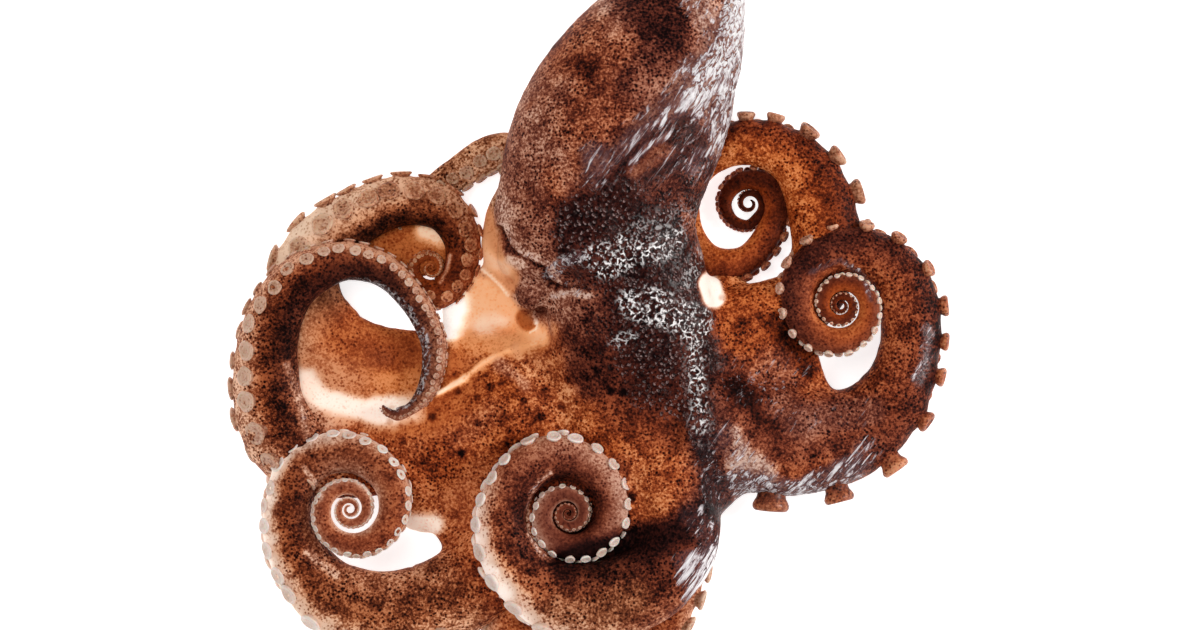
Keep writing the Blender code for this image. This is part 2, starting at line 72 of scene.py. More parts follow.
# lead: x, y, lift of the underside, half-width and half-height of each station. coil: the spiral that
# follows, by its centre, where it starts in degrees, its turns, first radius, how it shrinks in each
# turn, how it fills the room, its middle's height and the share of it that rises. roll: how far the
# suckers turn up from sideways, in degrees, at the crown and the tip. first, free: where the suckers
# begin and where the arm leaves the web, along the arm. cups: sucker radius beside the arm's
# half-width at the first one and the last, their spacing in radii, and how far they stand out in
# radii. sheen: the shares between which the inner side carries a painted sheen and a painted white
# network of highlights. flesh: the suckers' pigment, tone and tan at places along the arm, all in
# percent. bands: at percents of the length, percents of pigment and tenths of tone at each of the
# turns, then percents of tan and tenths of grain.
TURNS = (0.25, 0.80, 1.30, 1.90, 2.60)
ARMS = {
    "right_rear": dict(
        lead=(
            (34, 18, 5, 14, 10.5), (58, 30, 2, 15.4, 10), (80.5, 38.5, 0, 14, 9), (90, 55.5, 0, 14, 8.4),
            (89.4, 74, 0, 13.8, 8.4), (83, 91, 0, 12.2, 8.2), (71.5, 100.6, 0, 10.2, 7.8),
            (57, 103.2, 0, 9, 7.2), (43.2, 97.4, 0, 8, 6.8), (33.8, 84.4, 0, 7.2, 6.2),
            (34.2, 67.2, 0, 7.2, 5.8), (44.6, 55.6, 0, 6.4, 5.6), (60, 57, 0, 5.8, 5.3),
            (70.8, 73.6, 0, 5.2, 4.8), (67.8, 85.8, 0, 4.6, 4.4), (59.6, 88.4, 0, 3.9, 3.9),
            (53, 85.2, 0, 3.4, 3.4), (50.2, 78.8, 0.4, 2.8, 3), (53, 72.4, 0.8, 2.4, 2.6),
            (59.2, 70.2, 1.2, 2.1, 2.3)),
        coil=((59.8, 78.8), -52, 1.35, 6.4, 0.34, 0.62, 4.5, 0.6),
        roll=(-32, -4), first=70, free=66, cups=(0.36, 0.46, 2.45, 0.95),
        flesh=((20, 46, 60, 40), (50, 48, 50, 40), (60, 56, 40, 20), (100, 50, 80, 0)),
        bands=(
            (20, 70, 84, 84, 72, 60, 4, 3, 2, 1, 0, 0, 9), (45, 62, 74, 66, 55, 48, 3, 2, 1, 0, 0, 0, 9),
            (60, 62, 68, 58, 47, 42, 3, 3, 1, 0, 0, 0, 6), (70, 62, 78, 74, 65, 52, 4, 4, 2, 1, 0, 0, 5),
            (80, 52, 68, 80, 82, 68, 10, 8, 3, 0, 0, 0, 4),
            (100, 66, 84, 88, 85, 70, 8, 4, 1, 0, 0, 0, 3))),
    "right": dict(
        lead=(
            (34, -6, 7, 20, 13), (57, -13.4, 4, 22.6, 12.5), (80, -16.6, 2, 21.6, 12),
            (102.4, -12.6, 0, 18.4, 11), (118.4, 2.6, 0, 14.4, 10.5), (124, 20, 0, 12.2, 10)),
        coil=((96.4, 37.8), -6, 3.4, 28, 0.405, 0.86, 17.5, 0.22),
        roll=(-32, 10), first=38, free=84, cups=(0.3, 0.39, 2.95, 0.95),
        flesh=((12, 50, 40, 20), (35, 53, 30, 10), (48, 44, 50, 20), (58, 36, 80, 20), (66, 20, 90, 0),
            (78, 8, 80, 0), (100, 34, 60, 0)),
        bands=(
            (27, 66, 78, 80, 76, 70, 6, 6, 5, 4, 3, 0, 11), (45, 68, 86, 78, 69, 64, 5, 5, 4, 3, 2, 0, 11),
            (55, 64, 84, 82, 72, 62, 5, 7, 7, 5, 3, 0, 8), (64, 60, 76, 74, 62, 48, 7, 8, 7, 5, 2, 0, 6),
            (72, 50, 62, 60, 52, 48, 6, 5, 2, 1, 1, 0, 4), (84, 46, 66, 68, 58, 50, 8, 6, 2, 0, 0, 0, 3),
            (100, 60, 76, 80, 74, 66, 6, 3, 1, 0, 0, 0, 3))),
    "front_right": dict(
        lead=(
            (22, -26, 8, 15, 11), (32.5, -44, 9, 15.2, 11), (31, -60.5, 10, 15.4, 11),
            (18, -74, 11, 16, 10.6), (0, -80, 12, 15.8, 10.2), (-17.3, -78.4, 12.2, 14.8, 10),
            (-29.9, -69.9, 12.4, 13.2, 9.8), (-37.9, -58.6, 12.8, 11.4, 9.4), (-39.6, -45.2, 13.2, 10, 9),
            (-33.2, -31.3, 13.8, 9.2, 8.6)),
        coil=((-12.6, -45.2), 110, -3.15, 23.6, 0.36, 0.84, 22, 0.9),
        roll=(-10, 14), first=84, free=44, cups=(0.3, 0.44, 2.3, 0.6),
        flesh=((20, 18, 90, 40), (36, 6, 100, 0), (80, 6, 100, 0), (88, 24, 100, 0), (100, 50, 80, 0)),
        # The inner side's dark up to 72 % is partly the arm's own dark back and partly painted shade in the
        # hollow of the coil; its paler inner side from 80 % on is painted light, the lit table seen between
        # the turns.
        bands=(
            (14, 60, 70, 80, 84, 86, 6, 6, 6, 6, 6, 0, 10), (24, 42, 56, 70, 78, 86, 7, 5, 2, 3, 6, 20, 12),
            (32, 3, 22, 62, 74, 82, 10, 9, 3, 3, 6, 10, 12),
            (38, -4, 8, 58, 80, 84, 10, 10, 3, 5, 7, 5, 12), (44, 4, 26, 58, 70, 84, 10, 9, 4, 5, 8, 5, 10),
            (50, 42, 56, 62, 70, 82, 6, 5, 6, 6, 8, 0, 8), (56, 38, 47, 56, 74, 88, 7, 8, 8, 6, 5, 0, 8),
            (64, 28, 36, 46, 66, 84, 9, 10, 9, 6, 5, 0, 7), (72, 30, 40, 50, 64, 78, 9, 10, 9, 6, 5, 0, 5),
            (80, 20, 44, 58, 66, 40, 10, 10, 9, 8, 10, 0, 4),
            (88, 30, 54, 64, 68, 34, 10, 9, 8, 8, 10, 0, 3),
            (100, 42, 66, 72, 74, 50, 6, 5, 5, 6, 9, 0, 3))),
    "front_left": dict(
        lead=(
            (-4, -28, 5, 15, 10.5), (-24, -48, 2, 16.5, 10.5), (-44, -68, 0, 17.5, 10.5),
            (-64, -80.8, 0, 17.5, 10.8), (-86, -85.2, 0, 16.4, 10.8), (-106.2, -79.6, 0, 15, 10.3),
            (-119.4, -66, 0.2, 12.4, 10.1), (-125.4, -51.4, 0.6, 10.3, 9.9), (-124, -38, 1.4, 9.6, 9.5)),
        coil=((-100, -43.6), 145, -3.2, 25.6, 0.4, 0.78, 18, 0.15),
        roll=(-6, 12), first=84, free=84, cups=(0.31, 0.36, 2.1, 0.42),
        flesh=((24, 14, 90, 30), (40, 7, 100, 10), (60, 6, 100, 0), (70, 8, 100, 0), (100, 10, 90, 0)),
        # The paler inner side from 63 % on is painted light: the lit table seen through the gap between the
        # coil's turns.
        bands=(
            (24, 38, 50, 63, 66, 60, 6, 4, 2, 2, 4, 30, 12),
            (36, 14, 34, 69, 72, 58, 9, 6, 1, 2, 5, 30, 12),
            (42, 6, 26, 76, 80, 62, 10, 8, 1, 2, 6, 20, 12),
            (50, 3, 14, 74, 78, 60, 10, 10, 1, 3, 7, 20, 10),
            (56, 10, 32, 66, 60, 46, 10, 9, 3, 6, 9, 20, 8),
            (63, 28, 52, 60, 56, 36, 8, 5, 3, 5, 10, 10, 7), (70, 36, 60, 62, 56, 30, 5, 4, 3, 4, 8, 0, 7),
            (78, 16, 46, 58, 55, 28, 9, 7, 5, 4, 8, 0, 6), (90, 10, 40, 54, 54, 30, 10, 8, 6, 5, 8, 0, 5),
            (100, 10, 36, 50, 50, 30, 10, 8, 6, 6, 9, 0, 4))),
    "left": dict(
        lead=(
            (-30, -8, 4, 13, 9), (-66, -20, 0, 14, 7.6), (-100, -26, 0, 14, 7.4),
            (-120.5, -22, 0, 15.4, 8.4), (-131.8, -6, 0, 14.6, 9), (-134.2, 12, 2, 13, 9),
            (-131.6, 29.5, 5, 11.6, 8.8), (-123.4, 45, 8, 10.2, 8.4), (-111.5, 53, 9, 8.8, 7.6),
            (-100, 55.6, 9, 7.8, 6.8), (-86, 51.5, 9, 6.6, 6), (-74.8, 40, 9, 5.6, 5.2),
            (-67.4, 26, 10, 5.2, 4.8), (-66.4, 15, 10.8, 4.7, 4.4), (-69.2, 4.4, 10.8, 3.9, 3.8),
            (-74.6, -3, 10.6, 2.9, 2.9)),
        coil=((-82.6, 0.4), -72, -0.22, 6.6, 0.3, 0.55, 12.4, 1),
        roll=(-4, 40), first=88, free=92, cups=(0.33, 0.28, 2.25, 0.42), sheen=(0.6, 1.2),
        flesh=((32, 27, 80, 30), (60, 25, 80, 40), (80, 27, 90, 20), (100, 40, 90, 20)),
        bands=(
            (32, 44, 55, 68, 70, 60, 6, 5, 3, 4, 6, 20, 11),
            (40, 40, 56, 74, 84, 66, 6, 4, 1, 3, 6, 20, 13),
            (50, 42, 60, 84, 90, 78, 6, 4, 1, 4, 8, 20, 12), (62, 38, 68, 88, 90, 82, 6, 3, 2, 6, 9, 10, 9),
            (74, 36, 66, 84, 86, 84, 6, 5, 6, 9, 9, 20, 6), (84, 40, 58, 68, 74, 84, 8, 8, 9, 9, 9, 20, 8),
            (93, 44, 58, 68, 74, 84, 8, 8, 8, 9, 9, 20, 7),
            (100, 50, 62, 68, 74, 80, 8, 8, 8, 9, 9, 0, 3))),
    "left_rear": dict(
        lead=(
            (-10, 14, 5, 12, 8.6), (-40, 15, 1, 13, 7.4), (-72, 13, 0, 15, 6.2), (-99, 17, 0, 16.4, 6.2),
            (-115, 31, 0, 15.8, 7), (-118.6, 47.4, 0, 14.2, 7.6), (-112.6, 61.8, 0, 12.4, 7.8),
            (-98.2, 72.8, 0, 11, 7.8), (-80, 79.8, 0, 10.2, 7.4), (-63.4, 76.6, 0, 9, 6.8),
            (-55.4, 64.6, 0, 7.6, 6.2), (-56.6, 51.4, 0, 6.4, 5.6)),
        coil=((-68, 52.8), -62, -1.8, 10.6, 0.28, 0.62, 6, 0.5),
        roll=(10, 46), first=128, free=96, cups=(0.42, 0.38, 2.05, 0.42),
        flesh=((40, 24, 50, 60), (60, 33, 40, 50), (70, 40, 30, 30), (80, 44, 20, 20), (100, 30, 40, 20)),
        bands=(
            (36, 40, 46, 52, 54, 50, 3, 2, 1, 1, 1, 0, 6), (42, 26, 30, 44, 62, 66, 5, 4, 3, 2, 2, 60, 7),
            (50, 20, 25, 44, 78, 80, 5, 4, 3, 2, 2, 60, 7), (60, 26, 34, 56, 90, 84, 5, 4, 2, 0, 1, 40, 10),
            (70, 38, 50, 72, 90, 76, 4, 3, 1, 0, 0, 20, 9), (78, 54, 68, 78, 74, 66, 3, 2, 1, 1, 1, 0, 6),
            (86, 50, 62, 66, 64, 56, 3, 1, 0, 0, 0, 0, 5), (100, 40, 50, 50, 46, 38, 2, 1, 0, 0, 0, 0, 3))),
    "rear": dict(
        lead=(
            (-8, 24, 3, 9.6, 8), (-28, 39, 0, 9.8, 6.6), (-38, 56, 0, 9, 6.2), (-38.6, 72, 0, 8, 5.8),
            (-33, 86, 0, 7.2, 5.4), (-33.4, 98.6, 0, 7.2, 5.2), (-43.6, 99.2, 0, 7.2, 5),
            (-56, 91.6, 0, 6.8, 4.8), (-69, 83, 0, 5, 4), (-80, 72.5, 0, 3, 3)),
        coil=((-84, 66.5), 20, -0.25, 3.4, 0.3, 0.9, 2, 1),
        roll=(40, 50), first=80, free=50, cups=(0.42, 0.4, 2.2, 0.5),
        flesh=((0, 34, 50, 70), (100, 34, 50, 70)),
        bands=(
            (20, 44, 46, 48, 52, 54, 5, 5, 4, 3, 3, 50, 10),
            (100, 46, 48, 50, 53, 56, 2, 2, 2, 1, 1, 45, 12))),
    "front": dict(
        lead=(
            (20, -20, 5, 12, 9), (31, -46, 0, 12, 7.6), (31, -72, 0, 10.8, 7), (22, -92, 0, 9.6, 6.8),
            (4, -104, 0, 8.8, 6.4), (-18, -102, 0, 8, 6)),
        coil=((-18, -83), 214, -2.4, 22, 0.4, 0.9, 5, 0.5),
        roll=(-26, 5), first=40, free=34, cups=(0.4, 0.36, 2.3, 0.6),
        flesh=((0, 36, 60, 80), (50, 28, 80, 50), (100, 20, 80, 20)),
        bands=(
            (13, 30, 50, 66, 70, 72, 7, 6, 3, 3, 4, 0, 10), (50, 14, 34, 44, 50, 54, 9, 6, 3, 2, 2, 0, 7),
            (100, 20, 36, 46, 50, 54, 9, 6, 3, 2, 2, 0, 6))),
}

# Skin between two arms: their names, how far it reaches along each, how far its free edge sags, and
# its half-thickness at the crown and at that edge.
WEBS = (
    ("right_rear", "right", 58, 76, 0.12, 10.0, 6.5),
    ("right", "front_right", 54, 53, 0.14, 9.0, 5.0),
    ("front_right", "front_left", 56, 90, 0.06, 8.0, 6.0),
    ("front_left", "left", 74, 84, 0.18, 7.0, 4.0),
    ("left", "left_rear", 126, 112, 0.04, 6.0, 2.6),
    ("left_rear", "rear", 62, 40, 0.20, 5.0, 1.8),
)

# The mantle's ovals: place along its length, shift to its right, half-width and half-height, as shares.
MANTLE_SECTIONS = (
    (-0.062, 0.05, 0.1, 0.16), (-0.052, 0.04, 0.32, 0.42), (-0.03, 0.02, 0.56, 0.64), (0, 0, 0.74, 0.8),
    (0.035, 0.01, 0.83, 0.89), (0.09, 0.01, 0.9, 0.94), (0.2, -0.01, 0.94, 0.97), (0.33, -0.06, 0.98, 1),
    (0.46, -0.04, 0.97, 0.99), (0.6, 0.01, 0.87, 0.92), (0.72, 0.07, 0.73, 0.8), (0.83, 0.11, 0.56, 0.65),
    (0.91, 0.12, 0.4, 0.48), (0.965, 0.12, 0.24, 0.31), (1, 0.12, 0.06, 0.08),
)
MANTLE_COLLAR = (-12.0, 50.0)
MANTLE_HEADING = math.radians(68.8)
STREAK_HEADING = MANTLE_HEADING - 0.27

# The head's and crown's ovals: x, y, height of the middle, half-width and half-height.
TRUNK_SECTIONS = (
    (5, 78, 22, 22, 16), (6.5, 69, 22, 30, 21), (9, 55, 21, 32, 21.5), (11.5, 40, 18.5, 33, 22.5),
    (14.5, 24, 15, 34.5, 22), (16.5, 6, 10, 38, 20), (18, -14, 8, 38, 19), (20, -32, 8, 32, 18),
    (24, -46, 8, 22, 17.5), (26, -58, 8, 14, 13), (26.5, -66, 8, 6, 5),
)

# Ellipsoids: centre and half-axes.
LUMPS = {
    "crown_left": ((-22, -2, 4), (46, 32, 16)),
    "left_sheet": ((-56, -17, 2), (48, 27, 15)),
    "eye_left": ((-27, 44.5, 22), (7.4, 8.4, 7.4)),
    "eye_right": ((36, 38, 24), (9.0, 9.0, 8.0)),
    "siphon": ((44.8, 44, 14), (4.7, 6.2, 5.2)),
    "siphon_fold": ((-29.5, 32.5, 9), (4.8, 5.4, 7.5)),
    "rear_membrane": ((-43, 34, 2.6), (22, 20, 4.2)),
    "coil_skin": ((-77, 61, 2.2), (20, 13, 3.8)),
    "rear_web": ((50, 43.5, 4), (10.5, 8.5, 7)),
    "front_sheet": ((-70, -47.5, 2.2), (12, 6.5, 3.6)),
}


# ---- shapes


def unit(vectors):
    """The same directions, each of length 1."""
    return vectors / np.maximum(np.linalg.norm(vectors, axis=1), 1e-6)[:, None]


def squarish(value):
    """A sine or cosine drawn towards a squarer oval."""
    return np.sign(value) * abs(value) ** 0.9


def catmull_rom(stations, steps):
    """A smooth run of points through the stations, whatever number of values each holds."""
    points = [2 * stations[0] - stations[1], *stations, 2 * stations[-1] - stations[-2]]
    run = []
    for before, here, there, after in zip(points, points[1:], points[2:], points[3:]):
        for step in range(steps):
            t = step / steps
            run.append(
                0.5 * (2 * here + (there - before) * t
                       + (2 * before - 5 * here + 4 * there - after) * t * t
                       + (3 * here - before - 3 * there + after) * t ** 3)
            )
    run.append(stations[-1])
    return np.array(run)


def at(run, distance):
    """The run's position, half-width and half-height at a distance along it."""
    return np.array([np.interp(distance, run[:, 5], run[:, column]) for column in range(5)])


def coil_stations(coil, joins):
    """The coil's stations in the form of the lead's, following on from its last one."""
    centre, start, turns, first_radius, shrink, fill, top, rise = coil
    _, _, lift, half_width, half_height = joins
    count = max(4, round(abs(turns) * 12))
    room = (1 - shrink) / (1 + shrink)
    started = half_width / (room * fill * first_radius)
    squat = half_height / half_width
    stations = []
    for step in range(count + 1):
        t = step / count
        angle = math.radians(start) + 2 * math.pi * turns * t
        radius = first_radius * shrink ** (abs(turns) * t)
        width = room * fill * radius * (1 + (started - 1) * max(0.0, 1 - 5 * t))
        height = width * (squat + (1.1 - squat) * t)
        risen = min(1.0, t / rise)
        middle = lift + half_height
        middle += (top + SINK - middle) * risen * risen * (3 - 2 * risen)
        stations.append((centre[0] + radius * math.cos(angle), centre[1] + radius * math.sin(angle),
                         middle - height, width, height))
    return stations


def arm_run(arm, spacing, smallest=0.8):
    """Points along an arm: x, y, z, half-width, half-height and distance."""
    stations = [np.array(s, float) for s in arm["lead"]]
    stations += [np.array(s, float) for s in coil_stations(arm["coil"], arm["lead"][-1])]
    run = catmull_rom(stations, 16)
    run[:, 2] += run[:, 4] - SINK
    steps = np.linalg.norm(np.diff(run[:, :3], axis=0), axis=1)
    distance = np.concatenate([[0], np.cumsum(steps)])
    marks = [0.0]
    while marks[-1] < distance[-1]:
        width = np.interp(marks[-1], distance, run[:, 3])
        marks.append(marks[-1] + max(smallest, spacing * width))
    marks[-1] = distance[-1]
    columns = [np.interp(marks, distance, run[:, column]) for column in range(5)]
    return np.column_stack([*columns, marks])


def arm_axes(run, arm):
    """At each point: sideways, upwards, the sucker side's direction and the one across it."""
    ahead = unit(np.gradient(run[:, :3], axis=0))
    _, _, turns, *_ = arm["coil"]
    outwards = -1.0 if turns > 0 else 1.0
    side = unit(np.column_stack([-ahead[:, 1], ahead[:, 0], np.zeros(len(run))]) * outwards)
    up = np.cross(ahead, side)
    up *= np.sign(up[:, 2])[:, None]
    share = run[:, 5] / run[-1, 5]
    roll = np.radians(arm["roll"][0] + (arm["roll"][1] - arm["roll"][0]) * share)[:, None]
    oral = np.cos(roll) * side + np.sin(roll) * up
    across = -np.sin(roll) * side + np.cos(roll) * up
    return side, up, oral, across


def ring_faces(rings, sides):
    """Quads between successive rings, and a face over each end."""
    faces = []
    for ring in range(rings - 1):
        for step in range(sides):
            following = (step + 1) % sides
            a, b = ring * sides + step, ring * sides + following
            faces.append((a, b, b + sides, a + sides))
    faces.append(tuple(reversed(range(sides))))
    faces.append(tuple(range((rings - 1) * sides, rings * sides)))
    return faces


def plain_tube(name, stop):
    """An arm's root up to a distance along it, for the fused skin."""
    arm = ARMS[name]
    run = arm_run(arm, 0.3)
    side, up, _, _ = arm_axes(run, arm)
    kept = [index for index in range(len(run)) if run[index, 5] <= stop]
    angles = 2 * math.pi * np.arange(ROOT_SIDES) / ROOT_SIDES
    across, over = squarish(np.cos(angles)), squarish(np.sin(angles))
    points = [
        run[index, :3] + run[index, 3] * a * side[index] + run[index, 4] * o * up[index]
        for index in kept for a, o in zip(across, over)
    ]
    return points, ring_faces(len(kept), ROOT_SIDES)


def web_sheet(first_name, second_name, first_reach, second_reach, sag, thick, thin):
    """The skin between two neighbouring arms, as a closed sheet that thins to its free edge."""
    along, wide = WEB_STEPS_ALONG, WEB_STEPS_ACROSS
    runs = [arm_run(ARMS[name], 0.3) for name in (first_name, second_name)]
    top, bottom = [], []
    for i in range(along + 1):
        half_thickness = thick + (thin - thick) * i / along
        for j in range(wide + 1):
            v = j / wide
            drawn = 1 - sag * 4 * v * (1 - v)
            first, second = (at(run, reach * drawn * i / along)[:3]
                             for run, reach in zip(runs, (first_reach, second_reach)))
            middle = first * (1 - v) + second * v
            middle[2] *= 1 - 0.3 * 4 * v * (1 - v) * i / along
            middle[2] = max(middle[2], half_thickness - SINK)
            top.append(middle + (0, 0, half_thickness))
            bottom.append(middle - (0, 0, half_thickness))
    row, total = wide + 1, (along + 1) * (wide + 1)
    faces = []
    for i in range(along):
        for j in range(wide):
            a = i * row + j
            faces.append((a, a + 1, a + row + 1, a + row))
            faces.append((total + a, total + a + row, total + a + row + 1, total + a + 1))
    rim = list(range(wide))
    rim += [i * row + wide for i in range(along)]
    rim += [along * row + j for j in range(wide, 0, -1)]
    rim += [i * row for i in range(along, 0, -1)]
    for a, b in zip(rim, rim[1:] + rim[:1]):
        faces.append((b, a, total + a, total + b))
    return top + bottom, faces


def mantle():
    """The bag: oval sections along its axis, lying on the table."""
    heading = np.array((math.cos(MANTLE_HEADING), math.sin(MANTLE_HEADING)))
    right = np.array((heading[1], -heading[0]))
    sections = []
    for share, shift, wide, high in MANTLE_SECTIONS:
        x, y = (np.array(MANTLE_COLLAR) + heading * MANTLE_LENGTH * share
                + right * MANTLE_HALF_WIDTH * shift)
        half_height = MANTLE_HALF_HEIGHT * high
        sections.append((x, y, half_height - SINK, MANTLE_HALF_WIDTH * wide, half_height))
    return oval_body(sections)


def oval_body(sections):
    """A closed body through oval sections: x, y, middle height, half-width, half-height."""
    run = catmull_rom([np.array(section, float) for section in sections], 6)
    ahead = unit(np.gradient(run[:, :2], axis=0))
    points = []
    for (x, y, z, wide, high), (forward_x, forward_y) in zip(run, ahead):
        for step in range(BODY_SIDES):
            angle = 2 * math.pi * step / BODY_SIDES
            across = wide * math.cos(angle)
            points.append(np.array((x + forward_y * across, y - forward_x * across,
                                    z + high * math.sin(angle))))
    return points, ring_faces(len(run), BODY_SIDES)


def lump(centre, half_axes):
    """An ellipsoid as rings of points about the vertical."""
    points = []
    for ring in range(LUMP_RINGS + 1):
        tilt = math.pi * (0.02 + 0.96 * ring / LUMP_RINGS) - math.pi / 2
        for step in range(LUMP_SIDES):
            angle = 2 * math.pi * step / LUMP_SIDES
            direction = np.array((math.cos(tilt) * math.cos(angle),
                                  math.cos(tilt) * math.sin(angle), math.sin(tilt)))
            points.append(np.array(centre, float) + direction * np.array(half_axes, float))
    return points, ring_faces(LUMP_RINGS + 1, LUMP_SIDES)


# ---- numbers over many points


def noise(points, size, seed=0):
    """Smooth random values from -1 to 1 with features about size millimetres across."""
    turned = points @ np.array(((0.80, 0.36, -0.48), (-0.60, 0.48, -0.64), (0.0, 0.80, 0.60)))
    place = turned / size + seed * 17.31
    cell = np.floor(place).astype(np.int64)
    part = place - cell
    part = part * part * part * (part * (part * 6 - 15) + 10)
    total = np.zeros(len(points))
    for corner in range(8):
        step = np.array((corner & 1, corner >> 1 & 1, corner >> 2 & 1))
        at = cell + step
        mixed = at[:, 0] * 73856093 ^ at[:, 1] * 19349663 ^ at[:, 2] * 83492791
        mixed = (mixed ^ mixed >> 13) * 1274126177 & 0x7FFFFFFF
        mixed = (mixed ^ mixed >> 15) & 0xFFFF
        weight = np.prod(np.where(step, part, 1 - part), axis=1)
        total += weight * (mixed / 32767.5 - 1)
    return total


def octaves(points, size, count, seed=0):
    """Several layers of noise, each half the size and strength of the one before."""
    total = sum(noise(points, size / 2 ** k, seed + k) / 2 ** k for k in range(count))
    return total / 1.5


def smoothstep(low, high, value):
    """0 below low, 1 above high and a smooth rise between."""
    t = np.clip((value - low) / (high - low), 0, 1)
    return t * t * (3 - 2 * t)


def near(points, path, inside, outside, ragged=0.0):
    """1 within the inside distance of a path seen from above, falling to 0 at the outside one.

    The path holds x and y of each corner in turn.
    """
    flat = points[:, :2]
    nearest = np.full(len(points), np.inf)
    corners = np.array(path, float).reshape(-1, 2)
    for a, b in zip(corners, corners[1:]):
        along = b - a
        length = max(float(along @ along), 1e-9)
        t = np.clip((flat - a) @ along / length, 0, 1)
        nearest = np.minimum(nearest, np.linalg.norm(flat - a - t[:, None] * along, axis=1))
    return 1 - smoothstep(inside, outside, nearest + ragged * (outside - inside) / 5)


# ---- pigment

# What each point of the flesh carries. pigment: from clear (0) to black (1). tone: from thin flesh lit
# through (0), whose colour is a painted glow of the table's light through it, to thick pink flesh (1).
# tan: how far either turns to tan. grain: how strongly it is mottled. The others are marks: a painted
# sheen of wet reflection, wet gloss, bead-like papillae with faint painted glints, the painted white
# network of highlights between them, wrinkles and the crown's dark spots.
CHANNELS = ("pigment", "tone", "tan", "grain", "silver", "wet", "beads", "net", "wrinkles", "spots")

# Lines drawn more than once, as x and y of their corners: the mantle's lower lip and the edge above
# it, the free edge of the rear membrane, and the fold that runs on from it.
LIP = (-40, 68, -36.8, 60.8, -32, 56.4, -29, 54.8, -22.4, 52, -22, 48.8, -20, 46.4, -16, 44.4, -11, 44,
       -6.4, 44.8)
UPPER_LIP = (-38.4, 68.6, -35, 62, -30.6, 58, -26, 56.2, -20.6, 53.4, -19.6, 49.8, -15.4, 46.8, -11, 46.2,
             -6, 46.6)
MEMBRANE_EDGE = (-46.8, 52, -43.2, 49.6, -40, 46.4, -36.8, 42.4, -33.6, 39.6, -30, 37.6, -26.8, 36.4,
                 -25.2, 32.8, -25.2, 28.8, -28, 27.2)
FOLD = (-67, 1.6, -56, 7.2, -47, 15, -33, 21)

# Creases and ridges of the skin: the line, its half-width, and how far it rises or sinks.
CREASES = (
    (LIP, 2.2, -1.5),
    (UPPER_LIP, 1.8, 0.5),
    (MEMBRANE_EDGE, 1.8, 0.6),
    (FOLD, 1.8, 0.8),
    ((9, 87, 20, 97, 30, 108, 44, 118), 2.4, -1),
    ((18, 84, 28, 94, 38, 104), 2.2, -0.9),
    ((30, 80, 36, 90, 42, 98), 2.2, -0.8),
    ((46, 30, 41, 20, 42, 4), 2, -1),
)

